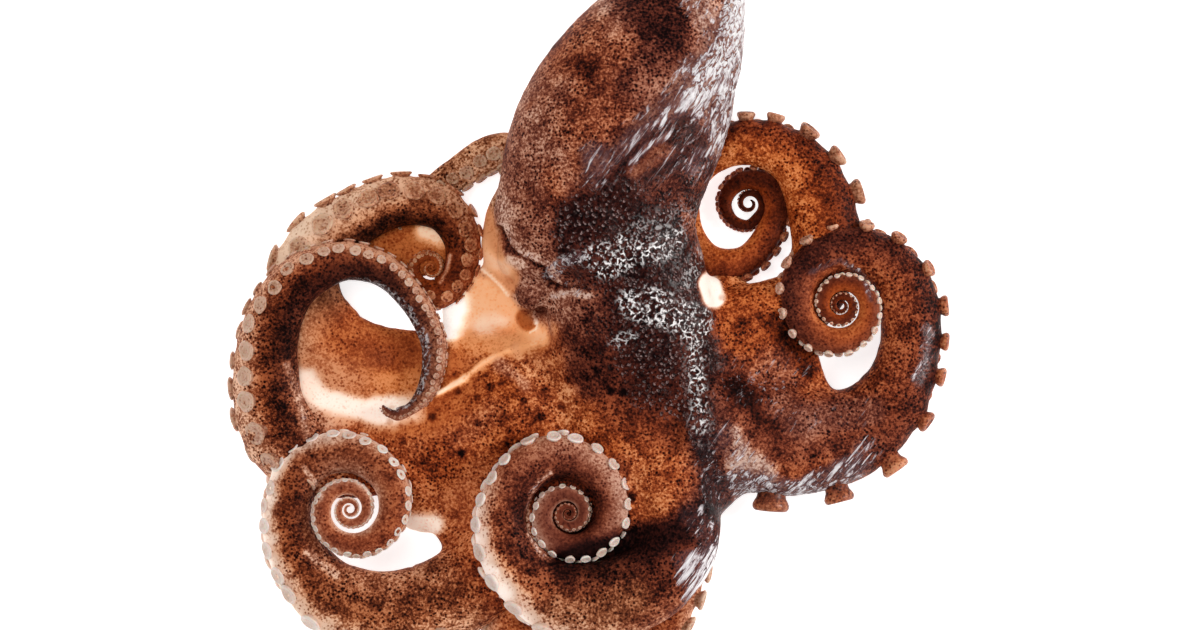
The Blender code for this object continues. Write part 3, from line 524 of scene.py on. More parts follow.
# Strokes laid over the skin in this order, seen from above: x and y of the path's corners, the
# distance within which it is full, the distance where it ends, its strength, then the pigment, the
# tone and the other marks it sets. Strength and marks are in percent.
STROKES = (
    # crown and web
    ((-50, -14, -20, -10, 6, -16), 14, 40, 100, 60, 10),
    ((-60, -14, -30, -14, 0, -10, 10, -30), 14, 34, 100, None, None, dict(spots=100)),
    ((-66, -18, -58, -10, -48, -2), 4, 14, 90, 56, 30),
    ((-66, -24, -60, -28), 3, 12, 90, 70, 5),
    ((-22, 8, -14, 2), 3, 13, 80, 44, 20),
    ((-60, 2, -42, 6, -24, 4), 3, 12, 80, 60, 0),
    ((-30, 22, -22, 12, -24, 0), 3, 14, 80, 56, 20),
    ((-18, -17, -10, -12), 2, 13, 80, 47, 10),
    ((-34, -20, -20, -24, 0, -22), 3, 13, 70, 68, 0),
    ((-4, -34, 8, -30), 3, 12, 80, 62, 50),
    ((-46, -32, -56, -42, -52, -54), 4, 14, 90, 52, 20, dict(grain=80)),
    ((20, -26, 30, -38), 6, 16, 90, 55, 15),
    ((-60, -84, -40, -78, -28, -64), 8, 24, 90, 64, 20),
    ((44, -10, 52, -30, 44, -48), 8, 20, 100, 68, 80),
    # A black line below the front-right arm's coil is painted shadow in its groove, and the dark ring under
    # that coil is painted shade on the web seen between its turns.
    ((2, -63, 20, -60, 44, -54), 2.5, 9, 100, 96, 60),
    ((-12, -44, -10, -46), 14, 19, 100, 88, 10, dict(spots=0)),
    ((60, 34, 80, 40, 84, 56), 12, 24, 100, 62, 5, dict(spots=60)),
    ((56, 26, 66, 28, 74, 22), 4, 13, 80, 68, 10),
    ((52, 56, 58, 50, 72, 52), 2, 8, 80, 42, 10),
    ((80, 30, 88, 24), 3, 11, 90, 84, 10),
    # Where the strokes below set sheen, it is painted highlight on the wet arm roots.
    ((48, 8, 62, 6, 76, 14), 4, 14, 90, 58, 60, dict(silver=12)),
    ((56, -6, 80, -12, 100, -10), 10, 22, 90, 72, 60),
    ((54, 5, 64, -4, 76, -9), 2, 9, 90, 94, 40),
    ((70, 30, 78, 22, 84, 12), 1.5, 7, 90, 86, 0),
    ((51, -14, 57, -24, 65, -31), 3, 9, 100, 30, 100, dict(silver=34, wrinkles=60, grain=130)),
    ((46, -2, 50, -10, 50, -20), 1, 5, 80, 80, 90),
    ((72, -2, 82, -12), 3, 9, 70, 56, 90, dict(silver=12)),
    ((56, -34, 78, -37, 102, -26, 118, -8), 2.5, 8, 100, 66, 100, dict(silver=60, wet=100, wrinkles=80)),
    # lit membranes on the left: their pale, white and orange lit tones are painted glow of light through
    # thin flesh, and the pale line along the membrane's edge is a painted highlight
    ((-112, 18, -96, 12, -74, 8), 18, 30, 100, 48, 5, dict(grain=45)),
    ((-100, 32, -96, 22, -80, 18), 3, 11, 70, 58, 5),
    ((-106, 30, -102, 20, -88, 16), 1, 7, 70, 60, 30),
    ((-88, 6, -78, 5), 2, 11, 80, 37, 0),
    ((-116, 14, -112, 2), 1, 7, 80, 36, 30),
    ((-60, 38, -48, 44, -38, 38, -29, 33), 10, 19, 100, 22, 0, dict(tan=0, grain=15)),
    ((-54, 24, -44, 22, -34, 26), 2, 9, 90, 31, 0, dict(grain=30)),
    ((-44, 44, -38, 38, -33, 32), 1, 8, 90, 23, 0),
    ((-47, 30, -40, 32), 1, 7, 80, 15, 40),
    ((-64, 42, -59, 37, -62, 28), 2, 10, 100, -5, 30),
    ((-84, 62, -74, 62), 10, 20, 100, 46, 0, dict(grain=40)),
    ((-70, 68, -64, 66), 1, 7, 80, 10, 20),
    ((-78, -51, -67, -50), 3, 7, 100, 12, 80, dict(grain=80)),
    ((-29.8, 32.8, -29.2, 31.2), 3, 5, 100, 45, 0),
    (MEMBRANE_EDGE, 0.1, 1.2, 80, 10, 20, dict(grain=30)),
    ((-26, 34.4, -25.6, 31), 0.4, 1.6, 90, 0, 80),
    (FOLD, 0.3, 1.8, 90, 24, 0, dict(grain=30)),
    ((-65, 2.6, -58, 6), 0.3, 2, 100, 12, 10, dict(grain=10)),
    ((-59, 5.8, -54, 9), 0.8, 3, 100, 16, 0, dict(grain=10)),
    ((-54, 9, -47, 14, -42, 17.4), 0.1, 2.2, 80, 22, 10, dict(grain=30)),
    ((-34, 21, -31, 14, -27, 10), 0.3, 2.4, 70, 32, 20),
    ((-40, 14, -34, 10, -30, 6), 1, 4, 70, 40, 70),
    # mantle
    ((0, 70, 22, 110, 44, 170), 41, 49, 100, 55, 85, dict(tan=0, spots=0, grain=125)),
    ((-42, 76, -42, 96, -37, 120, -25, 137, -11, 152, 0, 162), 5, 21, 90, 47, 100),
    ((-28, 98, -20, 86, -22, 70), 7, 18, 90, 62, 80),
    ((-8, 112, -6, 100), 3, 11, 70, 64, 60),
    ((-4, 150, 6, 146), 2, 13, 70, 44, 100),
    ((-12, 142, 4, 128, -2, 110), 7, 24, 90, 66, 45),
    ((-8, 134, -4, 131), 1, 8, 80, 84, 40),
    ((14, 138, 6, 124, 10, 116), 3, 12, 70, 64, 50),
    ((-14, 88, -8, 74, -4, 62), 4, 13, 80, 66, 40),
    ((-24, 102, -15, 94, -12, 86), 1, 6, 50, 56, 90),
    ((-34, 84, -27, 78), 1, 8, 60, 66, 70),
    ((-22, 122, -16, 112), 1, 8, 50, 60, 70),
    ((16, 160, 28, 152, 26, 140), 6, 16, 90, 90, 80),
    ((22, 134, 14, 124, 22, 116), 3, 12, 70, 74, 90),
    # Strokes with sheen on the mantle's right side are painted highlights: the streaked reflection of its
    # wet skin.
    ((37, 160, 45, 146), 3, 9, 90, 50, 100, dict(silver=30, wrinkles=70)),
    ((54, 144, 44, 134, 32, 118, 16, 100, 2, 86), 5, 14, 100, 64, 100,
     dict(silver=36, wet=60, wrinkles=100, grain=90)),
    ((-3, 98, 2, 88, -1, 76, 2, 66), 2, 8, 90, 62, 100, dict(silver=42, wrinkles=80)),
    ((58, 158, 54, 138, 50, 118, 45, 100), 4, 11, 100, 58, 100, dict(silver=72, wet=70, wrinkles=100)),
    ((59, 160, 52, 143, 43, 129, 35, 116, 29, 108), 1.5, 9, 100, 50, None, dict(silver=105, wrinkles=100)),
    ((50, 122, 52, 112, 49, 102), 1.5, 6, 90, None, None, dict(silver=90)),
    ((10, 84, 20, 94, 34, 104), 6, 12, 100, 82, 85, dict(silver=14, wet=80, wrinkles=100, grain=80)),
    ((34, 94, 42, 90, 44, 80), 5, 11, 90, 84, 90, dict(silver=24, wet=80)),
    ((26, 76, 33, 84, 40, 80), 4, 10, 100, 84, 90, dict(silver=10)),
    ((6, 76, 14, 80, 24, 78), 4, 10, 90, 78, 90, dict(beads=50)),
    ((14, 91, 20, 95, 26, 99), 1.4, 4.6, 100, 54, 70),
    ((12, 94, 19, 101, 27, 105), 0.3, 1.8, 90, 50, None, dict(silver=80)),
    ((36, 92, 40, 98), 0.8, 4, 90, None, None, dict(silver=55)),
    # Pale rim above the lip, with sheen: painted highlight.
    (UPPER_LIP, 1, 3.2, 80, 42, 100, dict(silver=16)),
    (LIP, 0.5, 2.2, 95, 86, 80),
    ((-29.4, 47, -28.4, 43.5), 4.5, 7.5, 100, 60, 90, dict(tan=0, grain=120)),
    # head: the network strokes are painted highlights on the wet papillae, and strokes with sheen are
    # painted highlights too
    ((2, 66, 18, 58, 25, 42, 22, 26, 28, 14), 16, 25, 100, 90, 85,
     dict(beads=100, wet=70, grain=80, silver=0)),
    ((36, 76, 30, 70, 18, 70), 4, 12, 90, None, None, dict(beads=80, net=16, silver=0)),
    ((-2, 50, 2, 36, -2, 24), 6, 17, 80, 84, 80, dict(beads=40)),
    ((-10, 22, -6, 12), 3, 12, 80, 74, 70),
    ((0, 12, 14, 4, 30, -2), 6, 15, 85, 86, 60),
    ((6, -4, 20, -10, 32, -14), 3, 12, 70, 74, 30),
    ((36, 22, 39, 4, 41, -14), 3.5, 8, 100, 84, 100, dict(beads=100, wet=70, net=20)),
    ((40, -10, 43, -26, 48, -44), 2.5, 8, 100, 86, 90, dict(silver=22, wet=90, wrinkles=60)),
    ((2, 56, 14, 61, 27, 65), 4, 10, 100, None, None, dict(net=100)),
    ((14, 66, 26, 70, 36, 74), 2, 8, 90, None, None, dict(beads=100, net=30)),
    ((14, 39, 26, 36, 38, 31), 4, 9.5, 100, None, None, dict(net=100)),
    ((38, 27, 39, 8, 40, -10), 1.2, 4.5, 100, None, None, dict(net=95)),
    ((6, 23, 12, 25), 1.5, 5, 90, None, None, dict(net=60)),
    ((39, 58, 35, 48), 2, 6, 90, None, None, dict(net=50)),
    ((-21, 49, -15, 55, -9, 57), 1.2, 4, 90, None, None, dict(silver=35, beads=90, net=50)),
    ((-19, 41.5, -12, 43, -4, 41.5), 0.4, 2.4, 90, 28, 100, dict(silver=30)),
    ((43.4, 46.5, 45.4, 41), 3.4, 5.8, 100, 5, 100, dict(silver=0, wet=40, beads=0, net=0, grain=40)),
)

# Strokes laid last on one arm, and on the skin at its root.
ARM_STROKES = {
    "right": (
        # The sheen on this arm's right edge and along its coil's ridge is painted highlight.
        ((78, -9, 96, -5, 108, -4), 3, 9, 80, 66, 100, dict(silver=10)),
        ((127, 8, 131, 18, 131, 28), 0.8, 3.6, 80, None, 100, dict(silver=45, wet=100)),
        ((131, 4, 135.5, 16, 136, 30), 1, 3, 90, 92, None, dict(silver=10)),
        ((84, 51, 96, 56, 105, 50, 108, 40), 0.4, 1.6, 80, None, 100, dict(silver=50)),
    ),
    "front_right": (
        # A pale line with sheen along the coil's inner edge: painted highlight.
        ((-19.6, -28.8, -24.4, -32, -27.6, -36.8, -28.8, -42, -28.6, -49, -28.4, -54, -23.2, -61.2,
          -12.4, -67.2), 0.3, 2, 80, 34, 100, dict(silver=20, grain=140)),
        # A black band below the coil: painted shadow in its groove.
        ((-14, -64, 6, -58, 28, -53, 42, -47), 2.5, 9, 100, 96, 70, dict(silver=0)),
        # Sheen down the arm's right side: painted highlights.
        ((36, -46, 44, -54, 45, -66), 3, 8, 90, 84, 100, dict(silver=25)),
        ((35, -64, 38, -76, 37, -88), 1, 7.5, 100, 80, None, dict(silver=80, wet=80)),
        ((45, -60, 43, -74, 38, -88), 0.6, 5.5, 100, None, None, dict(silver=105, wet=80)),
        ((14, -78, 0, -84, -16, -84), 3, 10, 70, 60, 40, dict(tan=50)),
    ),
    "front_left": (
        # Pale lines along the coil's inner edge: painted highlights.
        ((-118, -27, -114, -33, -111.5, -39), 0.4, 1.8, 80, 26, 100, dict(grain=120)),
        ((-117, -61, -111, -66, -105, -70), 0.8, 2.6, 80, 34, 100),
    ),
    "left": (
        # A pale line along the inner edge: painted highlight.
        ((-125, 14, -121, 2, -117, -16), 0.6, 2.4, 80, 42, 100, dict(silver=15)),
    ),
    "left_rear": (
        # Near-clear flesh under the arm: painted glow of light through the thin membrane.
        ((-119, 8, -114, 1, -106, -3, -96, -5, -86, -5, -78, -3), 2, 9.5, 90, 9, 80, dict(grain=50)),
        ((-110, 0, -96, -4, -84, -4.5), 2, 7, 90, 8, 80, dict(grain=60)),
        # A pale line with sheen: painted highlight.
        ((-64, 47, -61.5, 52, -60, 58), 0.2, 1.4, 80, 24, 80, dict(silver=20, wet=60)),
    ),
    "rear": (
        # The thin sheet and membrane lit through: their pale, lit tones are painted glow, and the pale line
        # along the membrane's edge is a painted highlight.
        ((-49, 74, -46, 64, -44, 56, -38, 48), 4.5, 7.5, 100, 32, 5, dict(tan=15, grain=15, silver=0)),
        ((-45, 57, -38, 52), 1, 5, 90, 20, 20, dict(tan=10)),
        ((-48, 62, -46, 54), 1, 5, 80, 24, 10, dict(tan=20)),
        ((-36, 56, -31, 54), 0.4, 3, 80, 20, 90, dict(silver=0)),
        ((-46, 45, -42, 42, -38, 37), 2.5, 6, 100, 23, 0, dict(tan=0, grain=15)),
        (MEMBRANE_EDGE[:8], 0.1, 1.3, 70, 8, 30, dict(grain=30)),
    ),
}


def paint(points, values, strokes):
    """Lays strokes over the values that the points carry, each over the ones before it."""
    ragged = 1.6 * octaves(points, 9, 3, 31)
    for path, inside, outside, strength, *marks in strokes:
        reach = near(points, path, inside, outside, ragged) * (strength / 100)
        targets = dict(zip(("pigment", "tone"), marks[:2])) | (marks[2] if marks[2:] else {})
        for channel, target in targets.items():
            if target is not None:
                values[channel] += reach * (target / 100 - values[channel])


def arm_pigment(arm, points, turn, share):
    """What an arm's flesh carries at a turn from the suckers' side and a share of its length."""
    values = {channel: np.zeros(len(turn)) for channel in CHANNELS}
    turn = turn + 0.22 * octaves(points, 7, 3, 41)
    bands = np.array(arm["bands"]).T
    count = len(TURNS)
    shares, tan, grain = bands[0] / 100, bands[-2] / 100, bands[-1] / 10
    spreads = {"pigment": bands[1:count + 1] / 100, "tone": bands[count + 1:-2] / 10}
    place = np.interp(turn, TURNS, np.arange(count))
    below = np.minimum(place.astype(int), count - 2)
    row = np.arange(len(turn))
    for channel, spread in spreads.items():
        along = np.array([np.interp(share, shares, at_turn) for at_turn in spread])
        low, high = along[below, row], along[below + 1, row]
        values[channel] = low + (high - low) * (place - below)
    # Between the sheen shares the inner side gets a painted sheen, papillae and a painted white network of
    # highlights.
    begins, ends = arm.get("sheen", (2.0, 3.0))
    on = smoothstep(begins, begins + 0.08, share) * (1 - smoothstep(ends - 0.08, ends, share))
    wider = 1.2 * smoothstep(begins, begins + 0.25, share)
    inner = smoothstep(2.3 - wider, 2.8 - wider, turn) * on
    values.update(tan=np.interp(share, shares, tan), grain=np.interp(share, shares, grain),
                  silver=0.20 * inner, wet=0.25 + 0.3 * inner, beads=inner, net=0.45 * inner)
    return values


def lay_arm(points, values, name):
    """Brings the skin's pigment to that of an arm where the arm leaves it."""
    arm = ARMS[name]
    run = arm_run(arm, 0.12)
    _, _, oral, _ = arm_axes(run, arm)
    length = run[-1, 5]
    before, after = 42, 14
    keep = (run[:, 5] > arm["free"] - before) & (run[:, 5] < arm["free"] + after)
    run, oral = run[keep], oral[keep]
    nearest, index = np.full(len(points), np.inf), np.zeros(len(points), int)
    for number, station in enumerate(run):
        gap = np.linalg.norm(points - station[:3], axis=1)
        closer = gap < nearest
        nearest[closer] = gap[closer]
        index[closer] = number
    away = unit(points - run[index, :3])
    turn = np.arccos(np.clip(np.sum(away * oral[index], axis=1), -1, 1))
    along = run[index, 5]
    reach = smoothstep(arm["free"] - 24, arm["free"] - 4, along)
    reach = reach * (1 - smoothstep(1.05, 1.35, nearest / run[index, 3]))
    for channel, target in arm_pigment(arm, points, turn, along / length).items():
        values[channel] += reach * (target - values[channel])


# ---- meshes


def placed(name, data):
    """A new object in the scene."""
    made = bpy.data.objects.new(name, data)
    bpy.context.scene.collection.objects.link(made)
    return made


def as_mesh(name, points, faces, masks):
    """A smooth-shaded mesh object in metres with one float attribute for each mask."""
    data = bpy.data.meshes.new(name)
    data.from_pydata((np.asarray(points) * MM).tolist(), [], faces)
    data.shade_smooth()
    for mask_name, values in masks.items():
        data.attributes.new(mask_name, "FLOAT", "POINT").data.foreach_set(
            "value", np.asarray(values, np.float32))
    return placed(name, data)


def rough_body():
    """Mantle, head, crown, web and arm roots as overlapping shapes in one mesh, in metres."""
    shapes = [mantle(), oval_body(TRUNK_SECTIONS)]
    shapes += [lump(centre, half_axes) for centre, half_axes in LUMPS.values()]
    shapes += [plain_tube(name, arm["free"] + 10) for name, arm in ARMS.items()]
    shapes += [web_sheet(*web) for web in WEBS]
    mesh = bmesh.new()
    for points, faces in shapes:
        corners = [mesh.verts.new((np.asarray(point) * MM).tolist()) for point in points]
        made = [mesh.faces.new([corners[index] for index in face]) for face in faces]
        bmesh.ops.recalc_face_normals(mesh, faces=made)
    data = bpy.data.meshes.new("rough")
    mesh.to_mesh(data)
    mesh.free()
    return data


def fused_skin():
    """The body's shapes fused and eased: points in millimetres, their normals, and the faces."""
    rough = placed("rough", rough_body())
    fuse = rough.modifiers.new("fuse", "REMESH")
    fuse.mode = "VOXEL"
    fuse.voxel_size = SKIN_VOXEL * MM
    ease = rough.modifiers.new("ease", "SMOOTH")
    ease.factor = 0.5
    ease.iterations = SKIN_SMOOTHING
    graph = bpy.context.evaluated_depsgraph_get()
    eased = bpy.data.meshes.new_from_object(rough.evaluated_get(graph))
    bpy.data.objects.remove(rough)
    points, normals = (np.empty(len(eased.vertices) * 3, np.float32) for _ in range(2))
    eased.vertices.foreach_get("co", points)
    eased.vertex_normals.foreach_get("vector", normals)
    faces = [tuple(polygon.vertices) for polygon in eased.polygons]
    bpy.data.meshes.remove(eased)
    return points.reshape(-1, 3).astype(float) / MM, normals.reshape(-1, 3).astype(float), faces


def relief(points, values):
    """How far skin stands proud at each point: folds, wrinkles, pebbles, creases, in millimetres."""
    height = 0.5 * octaves(points, 16, 3, 1) + 0.16 * octaves(points, 3.2, 2, 5)
    heading = np.array((math.cos(STREAK_HEADING), math.sin(STREAK_HEADING), 0.0))
    stretched = points - 0.84 * (points @ heading)[:, None] * heading
    folds = 1 - 2 * abs(octaves(stretched, 6.0, 3, 9))
    height += values["wrinkles"] * 0.9 * (folds - 0.3)
    cells = 1 - 1.6 * abs(noise(points, 3.4, 21)) - 0.6 * abs(noise(points, 2.6, 23))
    height += values["beads"] * 0.4 * cells
    for path, width, rise in CREASES:
        height += rise * near(points, path, 0.2 * width, width, 0.0)
    return height


def press(points):
    """Soft flesh pressed flat where it would reach below the table."""
    points[:, 2] = np.maximum(points[:, 2], LOWEST)
    return points


def skin():
    """The fused body with its relief and pigment."""
    points, normals, faces = fused_skin()
    plain = dict(pigment=0.58, tone=0.15, wet=0.2, grain=1.0)
    values = {channel: np.full(len(points), plain.get(channel, 0.0)) for channel in CHANNELS}
    paint(points, values, STROKES)
    for name in ARMS:
        lay_arm(points, values, name)
        paint(points, values, ARM_STROKES.get(name, ()))
    fade = smoothstep(0.2, 2.5, points[:, 2])
    points = press(points + normals * (relief(points, values) * fade)[:, None])
    return as_mesh("octopus_skin", points, faces, values)


def sucker_marks(arm, run):
    """Where an arm's suckers sit: distance along it, radius and row (1 or -1) of each."""
    near_size, far_size, spacing, _ = arm["cups"]
    marks, mark, row = [], float(arm["first"]), 1
    while mark < run[-1, 5] - 0.6:
        width = np.interp(mark, run[:, 5], run[:, 3])
        share = (mark - arm["first"]) / (run[-1, 5] - arm["first"])
        radius = width * (near_size + (far_size - near_size) * share)
        if radius < SMALLEST_SUCKER:
            break
        marks.append((mark, radius, row))
        mark += 0.5 * spacing * radius
        row = -row
    return marks


# Where the sucker seats swell and the groove between them runs, as turns from the suckers' side.
SEAT_TURN, SEAT_SPREAD, GROOVE_SPREAD = 0.62, 0.34, 0.22


def arm_piece(name):
    """A free arm as a closed tube with swollen sucker seats, and its pigment."""
    arm = ARMS[name]
    run = arm_run(arm, 0.06, 0.42)
    side, up, oral, across = arm_axes(run, arm)
    marks = sucker_marks(arm, run)
    phase = np.interp(run[:, 5], [mark for mark, _, _ in marks], np.arange(len(marks)) * math.pi)
    length = run[-1, 5]
    keep = run[:, 5] >= arm["free"] - 4
    run, side, up, oral, across, phase = (
        part[keep] for part in (run, side, up, oral, across, phase))
    begun = smoothstep(arm["free"] - 4, arm["free"] + 8, run[:, 5])
    ended = np.sqrt(np.clip((length - run[:, 5]) / (2.2 * run[-1, 3]), 0, 1))
    size = (0.90 + 0.105 * begun) * np.maximum(ended, 0.02)
    points, values = [], {channel: [] for channel in CHANNELS}
    for step in range(TUBE_SIDES):
        angle = 2 * math.pi * step / TUBE_SIDES
        outward = (squarish(math.cos(angle)) * run[:, 3] * size)[:, None] * side
        outward = outward + (squarish(math.sin(angle)) * run[:, 4] * size)[:, None] * up
        direction = unit(outward)
        turn = np.arccos(np.clip(np.sum(direction * oral, axis=1), -1, 1))
        upper = np.sum(direction * across, axis=1) > 0
        seat = np.exp(-((turn - SEAT_TURN) / SEAT_SPREAD) ** 2)
        groove = np.exp(-(turn / GROOVE_SPREAD) ** 2)
        beat = 0.5 + 0.5 * np.cos(phase + np.where(upper, 0, math.pi))
        swell = 0.085 * seat * (beat - 0.35) - 0.04 * groove
        points.append(run[:, :3] + outward + (swell * run[:, 3] * size)[:, None] * direction)
        carried = arm_pigment(arm, run[:, :3] + outward, turn, run[:, 5] / length)
        for channel in CHANNELS:
            values[channel].append(carried[channel])
    points = np.stack(points, axis=1).reshape(-1, 3)
    values = {channel: np.stack(each, axis=1).reshape(-1) for channel, each in values.items()}
    thick = np.repeat(run[:, 3], TUBE_SIDES)
    outward = unit(points - np.repeat(run[:, :3], TUBE_SIDES, axis=0))
    uneven = 0.45 * octaves(points, 14, 3, 1) + 0.16 * octaves(points, 3.2, 2, 5)
    paint(points, values, ARM_STROKES.get(name, ()))
    points = press(points + outward * (uneven * np.minimum(thick / 9, 1) ** 1.5)[:, None])
    return as_mesh("arm_" + name, points, ring_faces(len(run), TUBE_SIDES), values)


# One sucker from its buried stalk over the rim into its cup: height and radius, as shares.
SUCKER_PROFILE = (
    (-1.2, 0.78), (0.0, 0.78), (0.22, 0.82), (0.42, 0.93), (0.62, 1.01), (0.80, 1.00),
    (0.94, 0.92), (1.0, 0.82), (0.96, 0.70), (0.84, 0.62), (0.82, 0.54), (0.90, 0.46),
    (0.88, 0.34), (0.74, 0.20), (0.70, 0.04),
)


def suckers():
    """Every sucker of the arms, in two staggered rows, as one object of closed cups."""
    random = np.random.default_rng(7)
    points, faces, pigment, tone, tan = [], [], [], [], []
    first = 0
    for arm in ARMS.values():
        run = arm_run(arm, 0.1, 0.2)
        side, up, oral, across = arm_axes(run, arm)
        tall = arm["cups"][3]
        shares, *flesh = np.array(arm["flesh"]).T / 100
        for mark, radius, row in sucker_marks(arm, run):
            dark, thick, dull = (np.interp(mark / run[-1, 5], shares, each) for each in flesh)
            dark += random.normal(0, 0.03)
            x, y, z, half_width, half_height = at(run, mark)
            radius *= random.uniform(0.94, 1.05)
            index = int(np.searchsorted(run[:, 5], mark))
            lean = SUCKER_LEAN * row + random.normal(0, 0.05)
            out = math.cos(lean) * oral[index] + math.sin(lean) * across[index]
            out = out + random.normal(0, 0.05, 3)
            out /= np.linalg.norm(out)
            reach = 1 / math.hypot(out @ side[index] / half_width, out @ up[index] / half_height)
            seat = np.array((x, y, z)) + out * reach * 0.98
            one = np.cross((0, 0, 1) if abs(out[2]) < 0.9 else (1, 0, 0), out)
            one /= np.linalg.norm(one)
            two = np.cross(out, one)
            sides = 22 if radius > 3.0 else 16 if radius > 1.5 else 10
            angles = 2 * math.pi * np.arange(sides) / sides
            wave = 1 + 0.05 * np.sin(angles * 2 + 3 * mark) + 0.035 * np.sin(angles * 3 + mark)
            wave = wave + 0.03 * np.sin(angles * 5 + 2 * mark)
            for depth, size in SUCKER_PROFILE:
                points.append(seat + radius * (depth * (tall if depth > 0 else 0.4) * out
                                               + (size * wave * np.cos(angles))[:, None] * one
                                               + (size * wave * np.sin(angles))[:, None] * two))
                # Darker down the stalk towards the arm and deeper into the cup: painted shade under the rim
                # and in the hollow.
                neck = 0.16 * (1 - smoothstep(0.1, 0.6, depth)) if size > 0.75 else 0.0
                cup = 0.10 * (1 - size) if size < 0.75 else 0.0
                pigment.append(np.full(sides, dark + neck + cup))
                tone.append(np.full(sides, thick))
                tan.append(np.full(sides, dull))
            faces += [tuple(corner + first for corner in face)
                      for face in ring_faces(len(SUCKER_PROFILE), sides)]
            first += sides * len(SUCKER_PROFILE)
    points = press(np.concatenate(points))
    values = {"pigment": np.concatenate(pigment), "tone": np.concatenate(tone),
              "tan": np.concatenate(tan), "grain": np.full(len(points), 0.75)}
    return as_mesh("suckers", points, faces, values)


# ---- materials


def srgb(red, green, blue):
    """A colour given in 8-bit screen values, as the linear values that shaders take."""
    linear = [((v / 255 + 0.055) / 1.055) ** 2.4 if v > 10 else v / 255 / 12.92
              for v in (red, green, blue)]
    return (*linear, 1.0)


class Nodes:
    """Short ways to add nodes to one material's tree."""

    def __init__(self, name):
        self.material = bpy.data.materials.new(name)
        self.material.use_nodes = True
        self.tree = self.material.node_tree

    def feed(self, node, inputs):
        """Links or sets some of a node's inputs, by name or number."""
        for key, value in inputs.items():
            if isinstance(value, bpy.types.NodeSocket):
                self.tree.links.new(value, node.inputs[key])
            elif value is not None:
                node.inputs[key].default_value = value

    def shade(self, inputs):
        self.feed(self.tree.nodes["Principled BSDF"], inputs)

    def add(self, kind, inputs, **settings):
        """A node with its settings and inputs. Returns its outputs."""
        node = self.tree.nodes.new("ShaderNode" + kind)
        for setting, value in settings.items():
            setattr(node, setting, value)
        self.feed(node, inputs)
        return node.outputs

    def attribute(self, name):
        return self.add("Attribute", {}, attribute_name=name)["Fac"]

    def place(self):
        return self.add("TexCoord", {})["Object"]

    def noise(self, size, detail=3, rough=0.55, distort=0.0, place=None):
        return self.add("TexNoise", {
            "Vector": place or self.place(), "Scale": 1000 / size, "Detail": detail,
            "Roughness": rough, "Distortion": distort})["Fac"]

    def cells(self, size, feature="F1", place=None):
        inputs = {"Vector": place or self.place(), "Scale": 1000 / size}
        return self.add("TexVoronoi", inputs, feature=feature)["Distance"]

    def shifted(self, place, by):
        return self.add("VectorMath", {0: place, 1: by}, operation="ADD")[0]

    def bent(self, size, amount):
        """The place, pushed about by noise, so that what is drawn there has uneven outlines."""
        push = self.add("TexNoise", {"Vector": self.place(), "Scale": 1000 / size})["Color"]
        push = self.shifted(push, (-0.5, -0.5, -0.5))
        scaled = self.add("VectorMath", {0: push, "Scale": amount * MM}, operation="SCALE")[0]
        return self.shifted(self.place(), scaled)

    def maths(self, operation, first, second=None, clamp=False):
        return self.add("Math", {0: first, 1: second}, operation=operation, use_clamp=clamp)[0]

    def plus(self, first, second):
        return self.maths("ADD", first, second)

    def minus(self, first, second, clamp=False):
        return self.maths("SUBTRACT", first, second, clamp)

    def times(self, first, second):
        return self.maths("MULTIPLY", first, second)

    def span(self, value, low, high, to_low=0.0, to_high=1.0):
        return self.add("MapRange", {
            "Value": value, "From Min": low, "From Max": high, "To Min": to_low,
            "To Max": to_high}, interpolation_type="SMOOTHSTEP")["Result"]

    def mix(self, share, first, second):
        return self.add("Mix", {"Factor": share, 6: first, 7: second}, data_type="RGBA")[2]

    def ramp(self, value, stops):
        """A colour ramp through screen colours, each with its place in percent."""
        node = self.tree.nodes.new("ShaderNodeValToRGB")
        self.feed(node, {"Fac": value})
        stops = [(at / 100, srgb(*colour)) for at, *colour in stops]
        elements = node.color_ramp.elements
        elements[0].position, elements[0].color = stops[0]
        elements[1].position, elements[1].color = stops[-1]
        for position, colour in stops[1:-1]:
            elements.new(position).color = colour
        return node.outputs["Color"]

    def bump(self, height, strength, distance):
        inputs = {"Height": height, "Strength": strength, "Distance": distance}
        return self.add("Bump", inputs)["Normal"]


# Flesh by how much pigment it holds: thin and lit through, thick and pink, or tan. The lit-through ramp is
# painted light: the glow of the table's light through thin flesh.
LIT = ((0, 255, 250, 244), (12, 253, 222, 190), (25, 243, 168, 112), (38, 208, 115, 58), (50, 164, 74, 31),
       (62, 120, 46, 16), (75, 78, 26, 8), (88, 42, 12, 5), (100, 14, 4, 3))
THICK = ((0, 244, 230, 221), (15, 223, 196, 180), (30, 193, 148, 128), (42, 160, 106, 86),
         (55, 124, 69, 53), (68, 88, 42, 33), (80, 58, 25, 21), (90, 33, 14, 14), (100, 13, 5, 6))
TAN = ((0, 254, 250, 244), (12, 228, 210, 188), (27, 202, 169, 141), (42, 168, 121, 88), (56, 122, 80, 51),
       (70, 86, 48, 28), (85, 48, 22, 12), (100, 15, 6, 4))
# Colours of the painted sheen: a dull violet reflection rising to a white highlight.
SHEEN = ((0, 120, 88, 88), (30, 160, 136, 138), (62, 214, 205, 208), (100, 252, 250, 251))


